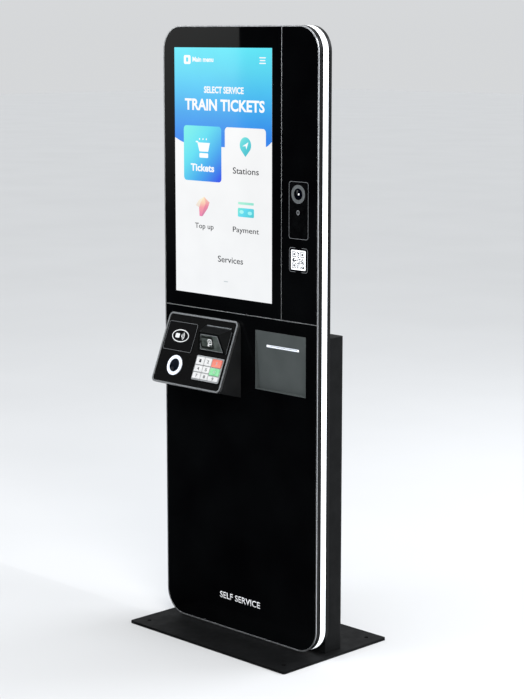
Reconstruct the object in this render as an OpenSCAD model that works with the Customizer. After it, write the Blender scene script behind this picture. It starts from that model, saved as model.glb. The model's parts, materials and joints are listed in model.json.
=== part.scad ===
// Self-service ticket kiosk: a tall slab with a portrait touch screen, a tilted
// payment console, a ticket niche with its printer, and a service cabinet behind
// the lower half, all on a floor plate.
// Millimetres, +Z up, +Y to the back. Origin: centre of the plate's underside.

/* [Slab] */
// Width of the upright slab
slab_w = 616; // [600:1:760]
// Height of the upright slab
slab_h = 1736; // [1440:1:2100]
// Depth of the slab, front to back
slab_d = 50; // [50:1:70]
// Radius of the slab's four corners
slab_r = 70; // [40:1:90]
// Height of the slab's underside above the floor
slab_lift = 14; // [12:1:30]
// Distance from the slab's back to the plate's centre line
slab_back = 20; // [10:1:40]
// Width of the perimeter frame, seen from the front
frame_t = 18; // [16:1:26]
// Width of the bright trim ring round the front
trim_w = 3.6; // [2:0.1:6]
// Depth of the bright trim ring
trim_d = 2; // [1.5:0.1:3]
// Thickness of the front panels
glass_t = 4; // [3:0.5:6]
// Gap between a front panel and what surrounds it
panel_gap = 0.3; // [0.2:0.1:1]
// Thickness of the upper rear cover
cover_t = 1.5; // [1:0.1:3]
// Width of the rear cover's seat on the frame
cover_seat = 8; // [6:1:12]

/* [Light ring] */
// Distance from the front plane to the light ring
led_start = 17; // [12:0.5:20]
// Width of the light ring
led_w = 20; // [10:0.5:24]
// Depth of the light ring's channel
led_depth = 9; // [7:0.5:11]
// Thickness of the diffuser
diffuser_t = 4; // [2:0.5:5]
// Thickness of the light strip
strip_t = 1.6; // [1:0.1:2.5]
// Depth of the shadow groove in front of the light ring
groove_depth = 1.2; // [0.5:0.1:2]

/* [Screen] */
// From the slab's left edge to the lit area
screen_margin = 48; // [40:0.5:60]
// From the lit area to the vertical divider
screen_gap = 36.4; // [30:0.1:60]
// From the slab's top to the lit area
screen_top = 60.6; // [50:0.1:90]
// Height over width of the lit area
screen_ratio = 1.7778; // [1.6:0.0001:1.8]
// Border of the display module round its lit area
display_border = 12; // [8:1:16]
// Thickness of the display module
display_t = 14; // [10:1:16]
// Height of one display rail
rail_h = 40; // [20:1:60]
// Depth of one display rail
rail_d = 6; // [4:1:10]
// From the lit area down to the horizontal divider
divider_drop = 42.5; // [30:0.5:60]
// Width of the divider strips
divider_w = 2; // [1.5:0.1:4]
// Width of the side column, right of the vertical divider
side_w = 138.7; // [120:0.1:160]

/* [Camera and sign] */
// Width of the camera module
cam_w = 73; // [60:1:90]
// Height of the camera module
cam_h = 156; // [140:1:180]
// Depth of the camera module
cam_d = 24; // [18:1:30]
// Height of the camera module's centre above the divider
cam_rise = 307.5; // [280:0.5:340]
// Radius of the raised ring round the lens
cam_ring_r = 26; // [20:0.5:30]
// Radius of the lens
lens_r = 14; // [10:0.5:18]
// Side of the square code sign
sign_w = 54; // [40:1:70]
// Thickness of the code sign
sign_t = 0.6; // [0.4:0.1:2]
// Height of the sign's centre above the divider
sign_rise = 172.5; // [150:0.5:190]

/* [Cabinet] */
// Width of the rear cabinet
box_w = 592; // [560:1:610]
// Depth of the rear cabinet
box_d = 73; // [70:1:160]
// From the horizontal divider down to the cabinet's top
box_drop = 43.4; // [30:0.1:120]
// Radius of the cabinet's rear corners
box_r = 16; // [6:1:24]
// Sheet thickness of the cabinet and its door
sheet_t = 2; // [1.5:0.1:3]
// Width of the door
door_w = 521; // [400:1:530]
// Gap round the door
door_gap = 1.5; // [1:0.1:3]
// Cabinet wall left below the door
door_sill = 52; // [44:1:80]
// Cabinet wall left above the door
door_head = 30; // [20:1:60]
// Radius of a door hinge's barrel
hinge_r = 5.5; // [4.5:0.5:8]
// Radius of a door hinge's pin
hinge_pin_r = 3; // [2:0.5:3.5]
// Length of a door hinge
hinge_len = 80; // [60:1:120]
// Radius of the lock's cylinder
lock_r = 9; // [8:0.5:12]
// Radius of the lock's turning plug
plug_r = 5; // [4:0.5:6]
// Running clearance of pins and shafts
run_gap = 0.05; // [0.02:0.01:0.1]

/* [Floor plate] */
// Width of the floor plate
plate_w = 640; // [620:1:800]
// Depth of the floor plate
plate_d = 420; // [300:1:600]
// Thickness of the floor plate
plate_t = 8; // [6:1:12]
// Spacing of the anchor holes across the plate
anchor_dx = 560; // [400:1:600]
// Spacing of the anchor holes from front to back
anchor_dy = 340; // [240:1:400]
// Radius of an anchor hole
anchor_r = 6.5; // [5:0.5:9]
// Radius of the cable entry
cable_r = 25; // [15:1:30]

/* [Console] */
// Width of the payment console
con_w = 286; // [280:1:300]
// Length of the console's face, top to bottom
con_len = 211; // [205:1:260]
// Tilt of the console's face from upright
con_tilt = 22; // [15:0.5:35]
// How far the face's top edge stands out from the slab
con_out = 8; // [8:1:20]
// From the horizontal divider down to the console's top
con_drop = 20.5; // [10:0.5:40]
// From the slab's left edge to the console
con_margin = 31; // [25:1:60]
// Radius of the console's corners
con_r = 14; // [10:1:24]
// Width of the console's trim ring
con_trim_w = 5; // [3:0.5:8]
// Depth of the console's trim ring
con_trim_d = 8; // [6:0.5:12]
// From the console's top down to its cable hole in the slab
pass_drop = 120; // [90:1:140]
// Radius of the console's cable hole
pass_r = 24; // [15:1:26]
// Wall thickness of the console's housing
con_wall = 3; // [2:0.5:5]
// From the console's top down to its heel on the slab
con_heel = 219; // [212:1:270]
// Thickness of the console's face plate
face_t = 3; // [2:0.5:4]
// How far the face plate lies behind the trim
face_sink = 1; // [0.5:0.1:2]

/* [Card reader and scanner] */
// Width of the contactless reader
reader_w = 121; // [100:1:125]
// Height of the contactless reader
reader_h = 86; // [60:1:90]
// Depth of the reader behind the face plate
reader_body = 10; // [6:1:12]
// From the console's left side to the reader
reader_x = 10; // [8:1:20]
// From the face's top edge to the reader and the hood
reader_y = 26; // [20:1:30]
// Width of the scanner hood at its base
hood_w = 113; // [90:1:120]
// Height of the scanner hood, down the face
hood_h = 75; // [60:1:80]
// From the console's right side to the hood
hood_x = 16; // [12:1:20]
// From the hood's upper edge to its ridge
hood_ridge = 25; // [15:1:35]
// How far the hood's ridge stands out
hood_rise = 33; // [20:1:40]
// How far each end of the ridge is drawn in
hood_draw = 16; // [8:1:20]
// Wall thickness of the scanner hood
hood_wall = 4; // [3:0.5:5]
// Thickness of the scanner's window
window_t = 2.5; // [1.5:0.5:3]
// Border of the hood round the window
window_border = 6; // [4:0.5:10]
// Width of the scan engine
engine_w = 60; // [40:1:70]
// Height of the scan engine
engine_h = 34; // [24:1:40]

/* [Keypad and button] */
// Width of the keypad
pad_w = 111; // [100:1:120]
// Height of the keypad
pad_h = 72; // [66:1:76]
// From the console's right side to the keypad
pad_x = 13; // [10:1:20]
// From the face's top edge to the keypad
pad_y = 113; // [108:1:125]
// Depth of the keypad behind the face plate
pad_body = 15; // [12:1:20]
// Border of the keypad round its keys
pad_border = 4.5; // [3:0.5:6]
// Gap between two keys
key_gap = 3; // [2.4:0.1:4]
// Widths of the first two key columns, the last takes the rest
key_cols = [31, 27];
// Heights of the first two keys of a digit column
digit_rows = [22, 18];
// Heights of the first two keys of the last column
action_rows = [23, 21];
// How far a key stands out of the keypad
key_rise = 2; // [1.6:0.1:3]
// Travel of a key
key_travel = 1.5; // [1:0.1:1.5]
// Gap round a key
key_fit = 0.35; // [0.25:0.05:0.5]
// Radius of the lit ring round the call button
ring_r = 29.5; // [24:0.5:32]
// Radius of the call button's cap
cap_r = 19; // [14:0.5:21]
// Travel of the call button
cap_travel = 3; // [2:0.5:4]
// From the console's left side to the call button's axis
call_x = 80; // [60:1:90]
// From the face's top edge to the call button's axis
call_y = 154; // [150:1:170]

/* [Ticket niche] */
// Width of the ticket niche
niche_w = 195.5; // [190:0.5:205]
// Height of the ticket niche
niche_h = 168; // [150:1:200]
// From the slab's right edge to the niche
niche_margin = 44.5; // [35:0.5:50]
// From the horizontal divider down to the niche
niche_drop = 37.4; // [37:0.1:50]
// Depth of the niche at its floor
niche_depth = 12; // [8:0.5:14]
// Wall thickness of the niche
niche_wall = 2; // [1.5:0.5:3]
// Width of the niche's flange behind the front panel
niche_flange = 8; // [6:1:12]
// From the niche's top down to the ticket slot
slot_drop = 41; // [38:0.5:50]
// How far the slot's centre lies right of the niche's centre
slot_shift = 7; // [0:0.5:10]
// Width of the lit slot surround
slot_w = 124; // [115:1:140]
// Height of the lit slot surround
slot_h = 7; // [6:0.5:10]
// Height of the ticket slot itself
slot_open = 2.4; // [2:0.1:3]

/* [Printer] */
// Width of the ticket paper
paper_w = 80; // [58:1:84]
// Radius of a full paper roll
roll_r = 42; // [30:1:42]
// Radius of the roll's spindle
spindle_r = 6; // [5:0.5:9]
// Radius of the platen roller
platen_r = 8; // [6:0.5:9]
// Radius of the platen's shaft
shaft_r = 2.5; // [2:0.5:3.5]
// Clear width between the printer's side plates
bay_w = 100; // [96:1:104]
// Thickness of the printer's plates
bay_t = 3; // [2:0.5:4]
// Teeth of the platen gear
gear_teeth = 28; // [24:1:32]
// Teeth of the motor pinion
pinion_teeth = 12; // [11:1:14]
// Gear module
gear_m = 1; // [0.8:0.1:1]
// Width of the gears
gear_w = 6; // [4:0.5:8]
// Radius of the printer's motor
motor_r = 17.5; // [15:0.5:20]
// Length of the printer's motor
motor_len = 22; // [15:1:25]
// Travel of the cutter's blade
cut_travel = 5; // [4:0.5:6]

/* [Fan and power] */
// Side of the square fan
fan_w = 92; // [60:1:92]
// Depth of the fan
fan_d = 15; // [12:1:15]
// Number of fan blades
fan_blades = 7; // [5:1:9]
// Width of the computer
pc_w = 190; // [150:1:200]
// Height of the computer
pc_h = 180; // [120:1:190]
// Depth of the computer
pc_d = 36; // [20:1:40]
// Width of the power supply
psu_w = 200; // [120:1:210]
// Height of the power supply
psu_h = 98; // [60:1:110]
// Depth of the power supply
psu_d = 38; // [25:1:42]

/* [Hidden] */
$fn = 96;
TINY = 0.01;
FIT = 0.2;

slab_top = slab_lift + slab_h;
slab_mid = slab_lift + slab_h / 2;
back_y = -slab_back;
front_y = back_y - slab_d;
panel_back = front_y + glass_t;
edge_in = trim_w + panel_gap;

split_x = slab_w / 2 - side_w;
screen_w = slab_w - side_w - screen_gap - screen_margin;
screen_h = screen_w * screen_ratio;
screen_cx = -slab_w / 2 + screen_margin + screen_w / 2;
screen_cz = slab_top - screen_top - screen_h / 2;
div_z = screen_cz - screen_h / 2 - divider_drop;
bar_w = 10;
bar_back = panel_back + 26;
display_y = panel_back + FIT;
rail_y = display_y + display_t;
panel_edge = divider_w / 2 + FIT / 2;

cam_x = slab_w / 2 - side_w / 2 - 4;
cam_z = div_z + cam_rise;
cam_r = 8;
cam_flange = 8;
lens_up = 44;
lens_z = cam_z + lens_up;
sign_z = div_z + sign_rise;

box_back = back_y + box_d;
box_top = div_z - box_drop;
box_in = back_y + sheet_t;
sill_z = plate_t + door_sill;
head_z = box_top - door_head;
door_mid = (sill_z + head_z) / 2;
lip_w = 8;
lip_t = 2;
lip_y = box_back - sheet_t - FIT - lip_t - 0.1;
cover_z = box_top + 2;
beam_z = box_top - 12;
beam_h = 26;
beam_y = back_y - 16;

hinge_x = -door_w / 2 - door_gap / 2;
hinge_y = box_back + hinge_r + 0.5;
hinge_zs = [sill_z + 120, head_z - 120];
leaf_w = 14;
leaf_t = 2.5;
lock_x = door_w / 2 - 26;
arm_len = 36;
arm_t = 3;
lock_depth = 11;
rib_x = 195;
rib_half = 12;
rib_d = 10;
vent_h = 5;
vent_pitch = 14;
door_vent_x = 120;
door_vent_w = 120;
cover_vent_x = 130;
cover_vent_w = 150;

con_x = -slab_w / 2 + con_margin;
con_mid = con_x + con_w / 2;
con_y = front_y - con_out;
con_z = div_z - con_drop;
con_low_y = con_y - con_len * sin(con_tilt);
con_low_z = con_z - con_len * cos(con_tilt);
heel_z = con_z - con_heel;
heel_slope = (con_low_z - heel_z) / (front_y - con_low_y);
pass_spare = 6;
face_top = -face_sink;
face_under = face_top - face_t;
ledge_w = 6;

reader_cx = con_x + reader_x + reader_w / 2;
hood_cx = con_x + con_w - hood_x - hood_w / 2;
hood_front = atan2(hood_rise, hood_h - hood_ridge);
hood_back = atan2(hood_rise, hood_ridge);
hood_slope = (hood_h - hood_ridge) / cos(hood_front);
engine_y = reader_y + hood_h - engine_h / 2 - 8;
pad_cx = con_x + con_w - pad_x - pad_w / 2;
pad_top = face_top + 2.5;
pad_in_w = pad_w - 2 * pad_border;
pad_in_h = pad_h - 2 * pad_border;
col_w = [key_cols[0], key_cols[1], pad_in_w - key_cols[0] - key_cols[1] - 2 * key_gap];
function rows_of(c) = let (r = c == 2 ? action_rows : digit_rows)
    [r[0], r[1], pad_in_h - r[0] - r[1] - 2 * key_gap];
function before(sizes, i) = i == 0 ? 0 : sizes[i - 1] + key_gap + before(sizes, i - 1);
function key_x(c) = pad_cx - pad_in_w / 2 + before(col_w, c) + col_w[c] / 2;
function key_d(c, r) = pad_y + pad_border + before(rows_of(c), r) + rows_of(c)[r] / 2;
pad_lip = 1.5;
key_flange = 0.8;
key_under = -10.5;
call_cx = con_x + call_x;
barrel_r = cap_r + 4.5;
barrel_end = -18;
switch_len = 18;
stem_r = 5;

niche_x1 = slab_w / 2 - niche_margin;
niche_x0 = niche_x1 - niche_w;
slot_cx = niche_x1 - niche_w / 2 + slot_shift;
niche_z1 = div_z - niche_drop;
niche_z0 = niche_z1 - niche_h;
slot_z = niche_z1 - slot_drop;
slot_y = front_y + niche_depth * slot_drop / niche_h;

printer_x = slot_cx;
side_x = bay_w / 2;
blade_y = slot_y + 6;
blade_t = 1.5;
platen_y = front_y + 24;
platen_z = slot_z - platen_r - 0.1;
roll_y = back_y + 18;
roll_z = slot_z - 70;
bay_front = slot_y + 5;
bay_back = roll_y + 40;
bay_low_front = front_y + niche_depth + niche_wall + 1.5;
bay_top = beam_z;
bay_low = roll_z - 48;
gear_x = side_x + bay_t + 1;
gear_dist = gear_m * (gear_teeth + pinion_teeth) / 2;
motor_y = platen_y + gear_dist * cos(45);
motor_z = platen_z - gear_dist * sin(45);
mount_x = gear_x + gear_w + 1;
post_r = 4;
motor_shaft_r = 1.5;

fan_x = 60;
fan_z = slab_top - 110;
fan_y = back_y - cover_t - fan_d;
fan_bore = fan_w / 2 - 3;
fan_hub = 17;
fan_shaft_r = 2;
inlet_x = 180;
inlet_z = plate_t + door_sill / 2;
inlet_w = 80;
inlet_h = 30;
rocker_tilt = 8;
rocker_y = box_back + 1;
pc_x = -230;
pc_z = 110;
psu_x = 10;
psu_z = 120;
bolt_r = 5;
washer_t = 1.6;
screw_r = 1.9;

screw_zs = [for (i = [0:4]) cover_z + 60 + i * (slab_top - slab_r - 30 - cover_z - 60) / 4];
screw_xs = [for (i = [-1:1]) i * (slab_w / 2 - slab_r - 30)];
screw_in = frame_t - cover_seat / 2;

KEY_NAMES = ["key_1", "key_2", "key_cancel", "key_4", "key_5", "key_enter", "key_7", "key_8", "key_9"];

// ---------- shared shapes ----------

// A rectangle with true round corners
module rounded(w, h, r) {
    square([w - 2 * r, h], center = true);
    square([w, h - 2 * r], center = true);
    for (sx = [-1, 1], sy = [-1, 1])
        translate([sx * (w / 2 - r), sy * (h / 2 - r)]) circle(r);
}

// A box given by its two corners
module block(a, b) translate(a) cube(b - a);

// Stands a front-view outline upright, from y0 back to y1
module upright(y0, y1) translate([0, y1, 0]) rotate([90, 0, 0]) linear_extrude(y1 - y0) children();

// A cylinder along Y, from y0 to y1
module rod_y(x, z, r, y0, y1) translate([x, y1, z]) rotate([90, 0, 0]) cylinder(r = r, h = y1 - y0);

// A cylinder along X, from x0 to x1
module rod_x(y, z, r, x0, x1) translate([x0, y, z]) rotate([0, 90, 0]) cylinder(r = r, h = x1 - x0);

// The slab's outline, drawn in by inset, from y0 to y1
module slab_layer(inset, y0, y1)
    upright(y0, y1) translate([0, slab_mid])
        rounded(slab_w - 2 * inset, slab_h - 2 * inset, slab_r - inset);

// A ring that follows the slab's outline between two insets
module slab_ring(outer, inner, y0, y1) difference() {
    slab_layer(outer, y0, y1);
    slab_layer(inner, y0 - 1, y1 + 1);
}

// Places children on the console's face: x across, d down from the top edge
module on_console(x, d, out = 0)
    translate([0, con_y, con_z]) rotate([90 - con_tilt, 0, 0]) translate([x, -d, out]) children();

// The console's face outline, drawn in by inset
module console_outline(inset)
    translate([con_mid, -con_len / 2])
        rounded(con_w - 2 * inset, con_len - 2 * inset, con_r - inset);

// A spur gear with straight-flanked teeth, one tooth on the X axis when phase is 0
module spur_outline(teeth, phase) {
    pitch_r = gear_m * teeth / 2;
    root_r = pitch_r - 1.3 * gear_m;
    tip_r = pitch_r + 0.75 * gear_m;
    circle(root_r);
    for (i = [0:teeth - 1]) rotate(phase + i * 360 / teeth)
        polygon([[root_r - 0.5, -1.05 * gear_m], [tip_r, -0.38 * gear_m],
                 [tip_r, 0.38 * gear_m], [root_r - 0.5, 1.05 * gear_m]]);
}

// ---------- floor plate and cabinet ----------

module base_bolt_sites() for (sx = [-1, 1], y = [back_y + 20, box_back - 20])
    translate([sx * (box_w / 2 - 50), y, 0]) children();

module base_plate() color("#17181a") difference() {
    linear_extrude(plate_t) rounded(plate_w, plate_d, 6);
    for (sx = [-1, 1], sy = [-1, 1])
        translate([sx * anchor_dx / 2, sy * anchor_dy / 2, -1]) cylinder(r = anchor_r, h = plate_t + 2);
    translate([0, back_y + box_d / 2, -1]) cylinder(r = cable_r, h = plate_t + 2);
    base_bolt_sites() translate([0, 0, -1]) cylinder(r = bolt_r + FIT, h = plate_t + 2);
}

module base_bolts() color("silver") base_bolt_sites() {
    translate([0, 0, 1]) cylinder(r = bolt_r, h = plate_t + sheet_t - 1);
    translate([0, 0, plate_t + sheet_t]) cylinder(r = bolt_r + 5, h = washer_t);
    translate([0, 0, plate_t + sheet_t + washer_t]) cylinder(r = bolt_r + 3.5, h = 6, $fn = 6);
}

// The cabinet's plan, drawn in by inset, with round corners at the back only
module box_plan(inset) {
    w = box_w - 2 * inset;
    r = box_r - inset;
    y0 = back_y + inset;
    y1 = box_back - inset;
    translate([-w / 2, y0]) square([w, y1 - y0 - r]);
    translate([-w / 2 + r, y0]) square([w - 2 * r, y1 - y0]);
    for (sx = [-1, 1]) translate([sx * (w / 2 - r), y1 - r]) circle(r);
}

// The door's opening, grown by grow, from y0 to y1
module door_hole(grow, y0, y1) {
    half = door_w / 2 + door_gap + grow;
    block([-half, y0, sill_z - door_gap - grow], [half, y1, head_z + door_gap + grow]);
}

module rear_box() color("#141516") {
    difference() {
        translate([0, 0, plate_t]) linear_extrude(box_top - plate_t) box_plan(0);
        translate([0, 0, plate_t + sheet_t])
            linear_extrude(box_top - plate_t - 2 * sheet_t) box_plan(sheet_t);
        door_hole(0, box_back - sheet_t - 1, box_back + 1);
        block([niche_x0 - 6, back_y - 1, roll_z - 150], [niche_x1 + 12, box_in + 1, beam_z + 2]);
        rod_y(con_mid, con_z - pass_drop, pass_r + pass_spare, back_y - 1, box_in + 1);
        translate([0, back_y + box_d / 2, plate_t - 1]) cylinder(r = cable_r, h = sheet_t + 2);
        base_bolt_sites() translate([0, 0, plate_t - 1]) cylinder(r = bolt_r + FIT, h = sheet_t + 2);
        block([inlet_x - inlet_w / 2 + 4, box_back - sheet_t - 1, inlet_z - inlet_h / 2 + 4],
              [inlet_x + inlet_w / 2 - 4, box_back + 1, inlet_z + inlet_h / 2 - 4]);
    }
    difference() {
        door_hole(lip_w, lip_y, box_back - sheet_t + TINY);
        door_hole(-lip_w, lip_y - 1, box_back);
        door_hole(0, lip_y + lip_t, box_back);
    }
}

module vent_rows(cx, z0, rows, w) for (i = [0:rows - 1])
    translate([cx - w / 2, -50, z0 + i * vent_pitch]) cube([w, 100, vent_h]);

module rear_door() color("#1b1c1e") {
    difference() {
        block([-door_w / 2, box_back - sheet_t, sill_z], [door_w / 2, box_back, head_z]);
        rod_y(lock_x, door_mid, lock_r + 0.1, box_back - sheet_t - 1, box_back + 1);
        for (sx = [-1, 1]) {
            translate([0, box_back, 0]) vent_rows(sx * door_vent_x, sill_z + 40, 8, door_vent_w);
            translate([0, box_back, 0]) vent_rows(sx * door_vent_x, head_z - 160, 8, door_vent_w);
        }
    }
    for (sx = [-1, 1]) difference() {
        block([sx * rib_x - rib_half, box_back - sheet_t - rib_d, sill_z + 20],
              [sx * rib_x + rib_half, box_back - sheet_t, head_z - 20]);
        block([sx * rib_x - rib_half + sheet_t, box_back - rib_d, sill_z + 10],
              [sx * rib_x + rib_half - sheet_t, box_back - sheet_t, head_z - 10]);
    }
}

// One half of a hinge: its barrel and its leaf, to the left (-1) or right (1) of the pin
module hinge_half(side, z0) {
    translate([hinge_x, hinge_y, z0]) cylinder(r = hinge_r, h = hinge_len / 2 - 0.5);
    block([hinge_x + min(0, side * leaf_w), box_back, z0],
          [hinge_x + max(0, side * leaf_w), box_back + leaf_t, z0 + hinge_len / 2 - 0.5]);
}

module hinge_lower() color("#2b2c2f") for (z = hinge_zs) {
    hinge_half(-1, z - hinge_len / 2);
    translate([hinge_x, hinge_y, z - 1]) cylinder(r = hinge_pin_r, h = hinge_len / 2 - 5);
}

module hinge_upper() color("#2b2c2f") for (z = hinge_zs)
    difference() {
        hinge_half(1, z);
        translate([hinge_x, hinge_y, z - 1]) cylinder(r = hinge_pin_r + run_gap, h = hinge_len / 2 - 3);
    }

module lock_body() color("silver") difference() {
    union() {
        rod_y(lock_x, door_mid, lock_r, box_back - lock_depth, box_back + TINY);
        rod_y(lock_x, door_mid, lock_r + 3, box_back, box_back + 2);
    }
    rod_y(lock_x, door_mid, plug_r + run_gap, box_back - lock_depth - 1, box_back + 3);
}

module lock_cam() color("#8c8f93") difference() {
    union() {
        rod_y(lock_x, door_mid, plug_r, box_back - lock_depth - 0.5, box_back + 1.5);
        hull() {
            rod_y(lock_x, door_mid, lock_r - 1, box_back - lock_depth - 0.3 - arm_t,
                  box_back - lock_depth - 0.3);
            rod_y(lock_x, door_mid + arm_len - 7, 7, box_back - lock_depth - 0.3 - arm_t,
                  box_back - lock_depth - 0.3);
        }
    }
    block([lock_x - 0.6, box_back - 2, door_mid - 3], [lock_x + 0.6, box_back + 2, door_mid + 3]);
}

// ---------- slab ----------

module cover_seat_cut(inset, z0) intersection() {
    slab_layer(inset, back_y - cover_t, back_y + 1);
    block([-slab_w, back_y - 30, z0], [slab_w, back_y + 30, slab_top]);
}

module screw_sites() {
    for (sx = [-1, 1], z = screw_zs) translate([sx * (slab_w / 2 - screw_in), back_y, z]) children();
    for (x = screw_xs, z = [slab_top - screw_in, cover_z + 6]) translate([x, back_y, z]) children();
}

module slab_frame() color("#101112") difference() {
    union() {
        slab_ring(0, frame_t, front_y + trim_d, back_y);
        block([-slab_w / 2 + frame_t - 1, panel_back, div_z - bar_w],
              [slab_w / 2 - frame_t + 1, panel_back + 16, div_z + bar_w]);
        block([split_x - bar_w / 2, panel_back, div_z],
              [split_x + bar_w / 2, bar_back, slab_top - frame_t + 1]);
        block([-slab_w / 2 + frame_t - 1, beam_y, beam_z],
              [slab_w / 2 - frame_t + 1, back_y, beam_z + beam_h]);
    }
    slab_layer(edge_in, front_y, panel_back);
    slab_ring(-1, led_depth, front_y + led_start, front_y + led_start + led_w);
    slab_ring(-1, groove_depth, front_y + trim_d + 1, front_y + led_start - 1);
    cover_seat_cut(frame_t - cover_seat, cover_z - FIT);
    screw_sites() rod_y(0, 0, screw_r + 0.1, -12, 1);
}

module front_trim() color("#c9ccd0") slab_ring(0, trim_w, front_y, front_y + trim_d);

module led_diffuser() color("white")
    slab_ring(0, diffuser_t, front_y + led_start + FIT, front_y + led_start + led_w - FIT);

module led_strip() color("#e9edda")
    slab_ring(led_depth - strip_t, led_depth, front_y + led_start + 2, front_y + led_start + led_w - 2);

module divider_trim() color("#b9bcc0") {
    half = slab_w / 2 - edge_in;
    block([-half, front_y, div_z - divider_w / 2], [half, panel_back, div_z + divider_w / 2]);
    block([split_x - divider_w / 2, front_y, div_z],
          [split_x + divider_w / 2, panel_back, slab_top - edge_in]);
}

// The front panels' sheet, cut to the region between two corners in front view
module front_sheet(a, b) intersection() {
    slab_layer(edge_in + FIT, front_y, panel_back);
    block([a.x, front_y - 1, a.y], [b.x, panel_back + 1, b.y]);
}

module touch_glass() color("#060708")
    front_sheet([-slab_w, div_z + panel_edge], [split_x - panel_edge, slab_top]);

module side_panel() color("#060708") difference() {
    front_sheet([split_x + panel_edge, div_z + panel_edge], [slab_w, slab_top]);
    upright(front_y - 1, panel_back + 1) translate([cam_x, cam_z])
        rounded(cam_w + 2 * FIT, cam_h + 2 * FIT, cam_r + FIT);
}

module lower_panel() color("#060708") difference() {
    front_sheet([-slab_w, 0], [slab_w, div_z - panel_edge]);
    block([niche_x0 - FIT, front_y - 1, niche_z0 - FIT], [niche_x1 + FIT, panel_back + 1, niche_z1 + FIT]);
    rod_y(con_mid, con_z - pass_drop, pass_r, front_y - 1, panel_back + 1);
}

module display_panel() color("#26282b") {
    w = screen_w / 2 + display_border;
    h = screen_h / 2 + display_border;
    block([screen_cx - w, display_y, screen_cz - h], [screen_cx + w, rail_y, screen_cz + h]);
}

module display_rails() color("#9a9da1") for (sz = [-1, 1]) {
    z = screen_cz + sz * screen_h * 0.3;
    x0 = -slab_w / 2 + frame_t;
    x1 = split_x - bar_w / 2;
    difference() {
        block([x0, rail_y, z - rail_h / 2], [x1, rail_y + rail_d, z + rail_h / 2]);
        block([x0 - 1, rail_y - 1, z - rail_h / 2 + 10],
              [x1 + 1, rail_y + rail_d - 2, z + rail_h / 2 - 10]);
    }
}

module rear_cover() color("#1b1c1e") difference() {
    intersection() {
        slab_layer(frame_t - cover_seat + FIT, back_y - cover_t, back_y);
        block([-slab_w, back_y - 5, cover_z], [slab_w, back_y + 5, slab_top]);
    }
    screw_sites() rod_y(0, 0, screw_r + 0.4, -12, 1);
    for (sx = [-1, 1])
        translate([0, back_y, 0]) vent_rows(sx * cover_vent_x, cover_z + 70, 10, cover_vent_w);
    translate([fan_x, 0, fan_z]) upright(back_y - 5, back_y + 1) difference() {
        for (r = [14, 24, 34]) difference() {
            circle(r + 6);
            circle(r);
        }
        for (a = [0, 60, 120]) rotate(a) square([fan_w, 4], center = true);
    }
}

module cover_screws() color("silver") screw_sites() {
    rod_y(0, 0, screw_r, -9, 0);
    difference() {
        rod_y(0, 0, 4, 0, 2);
        for (a = [0, 90]) translate([0, 1.5, 0]) rotate([0, a, 0]) cube([4, 2, 1], center = true);
    }
}

// ---------- camera and sign ----------

module camera_housing() color("#0d0e10") difference() {
    union() {
        upright(front_y, panel_back + 1) translate([cam_x, cam_z]) rounded(cam_w, cam_h, cam_r);
        upright(panel_back, front_y + cam_d) translate([cam_x, cam_z])
            rounded(cam_w + 2 * cam_flange, cam_h + 2 * cam_flange, cam_r - 2);
        rod_y(cam_x, lens_z, cam_ring_r, front_y - 1.5, front_y + 1);
    }
    rod_y(cam_x, lens_z, lens_r + 4, front_y - 2, front_y);
    rod_y(cam_x, lens_z, lens_r + FIT, front_y - 2, front_y + 12);
}

module camera_lens() color("#1c2740") {
    rod_y(cam_x, lens_z, lens_r, front_y, front_y + 12);
    intersection() {
        rod_y(cam_x, lens_z, lens_r, front_y - 2, front_y + 1);
        translate([cam_x, front_y - 1.2 + 60, lens_z]) sphere(60);
    }
}

module code_sign() color("white") upright(front_y - sign_t, front_y)
    translate([cam_x, sign_z]) rounded(sign_w, sign_w, 2);

// ---------- console ----------

// The housing's body behind the trim ring, with its walls drawn in by inset
module console_solid(inset) intersection() {
    on_console(0, 0, -200) linear_extrude(200 - con_trim_d) console_outline(inset);
    translate([con_x - 5, 0, 0]) rotate([90, 0, 90]) linear_extrude(con_w + 10)
        polygon([[front_y + (inset > 0 ? 1 : 0), heel_z + inset],
                 [con_low_y - 40, con_low_z + 40 * heel_slope + inset],
                 [con_low_y - 40, con_z + 60],
                 [front_y + (inset > 0 ? 1 : 0), con_z + 60]]);
}

module console_housing() color("#1c1d1f") difference() {
    console_solid(0);
    console_solid(con_wall);
    on_console(0, 0, -con_trim_d - 1) linear_extrude(2) console_outline(con_wall);
}

module console_trim() color("#9b9ea2") on_console(0, 0) {
    translate([0, 0, -con_trim_d]) linear_extrude(con_trim_d) difference() {
        console_outline(0);
        console_outline(con_trim_w);
    }
    translate([0, 0, -con_trim_d]) linear_extrude(con_trim_d + face_under) difference() {
        console_outline(con_trim_w - TINY);
        console_outline(con_trim_w + ledge_w);
    }
}

// A rounded slab on the console, centred on x and d, from out0 to out1
module tile(x, d, w, h, r, out0, out1)
    on_console(x, d, out0) linear_extrude(out1 - out0) rounded(w, h, r);

module console_face() color("#0b0c0e") difference() {
    on_console(0, 0, face_under) linear_extrude(face_t) console_outline(con_trim_w + FIT);
    tile(reader_cx, reader_y + reader_h / 2, reader_w - 16, reader_h - 16, 4, face_under - 1, 1);
    tile(hood_cx, engine_y, engine_w + 2 * FIT, engine_h + 2 * FIT, 2, face_under - 1, 1);
    tile(pad_cx, pad_y + pad_h / 2, pad_w - 2 * pad_lip + 2 * FIT, pad_h - 2 * pad_lip + 2 * FIT, 3,
         face_under - 1, 1);
    on_console(call_cx, call_y, face_under - 1) cylinder(r = barrel_r + FIT, h = face_t + 2);
}

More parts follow.
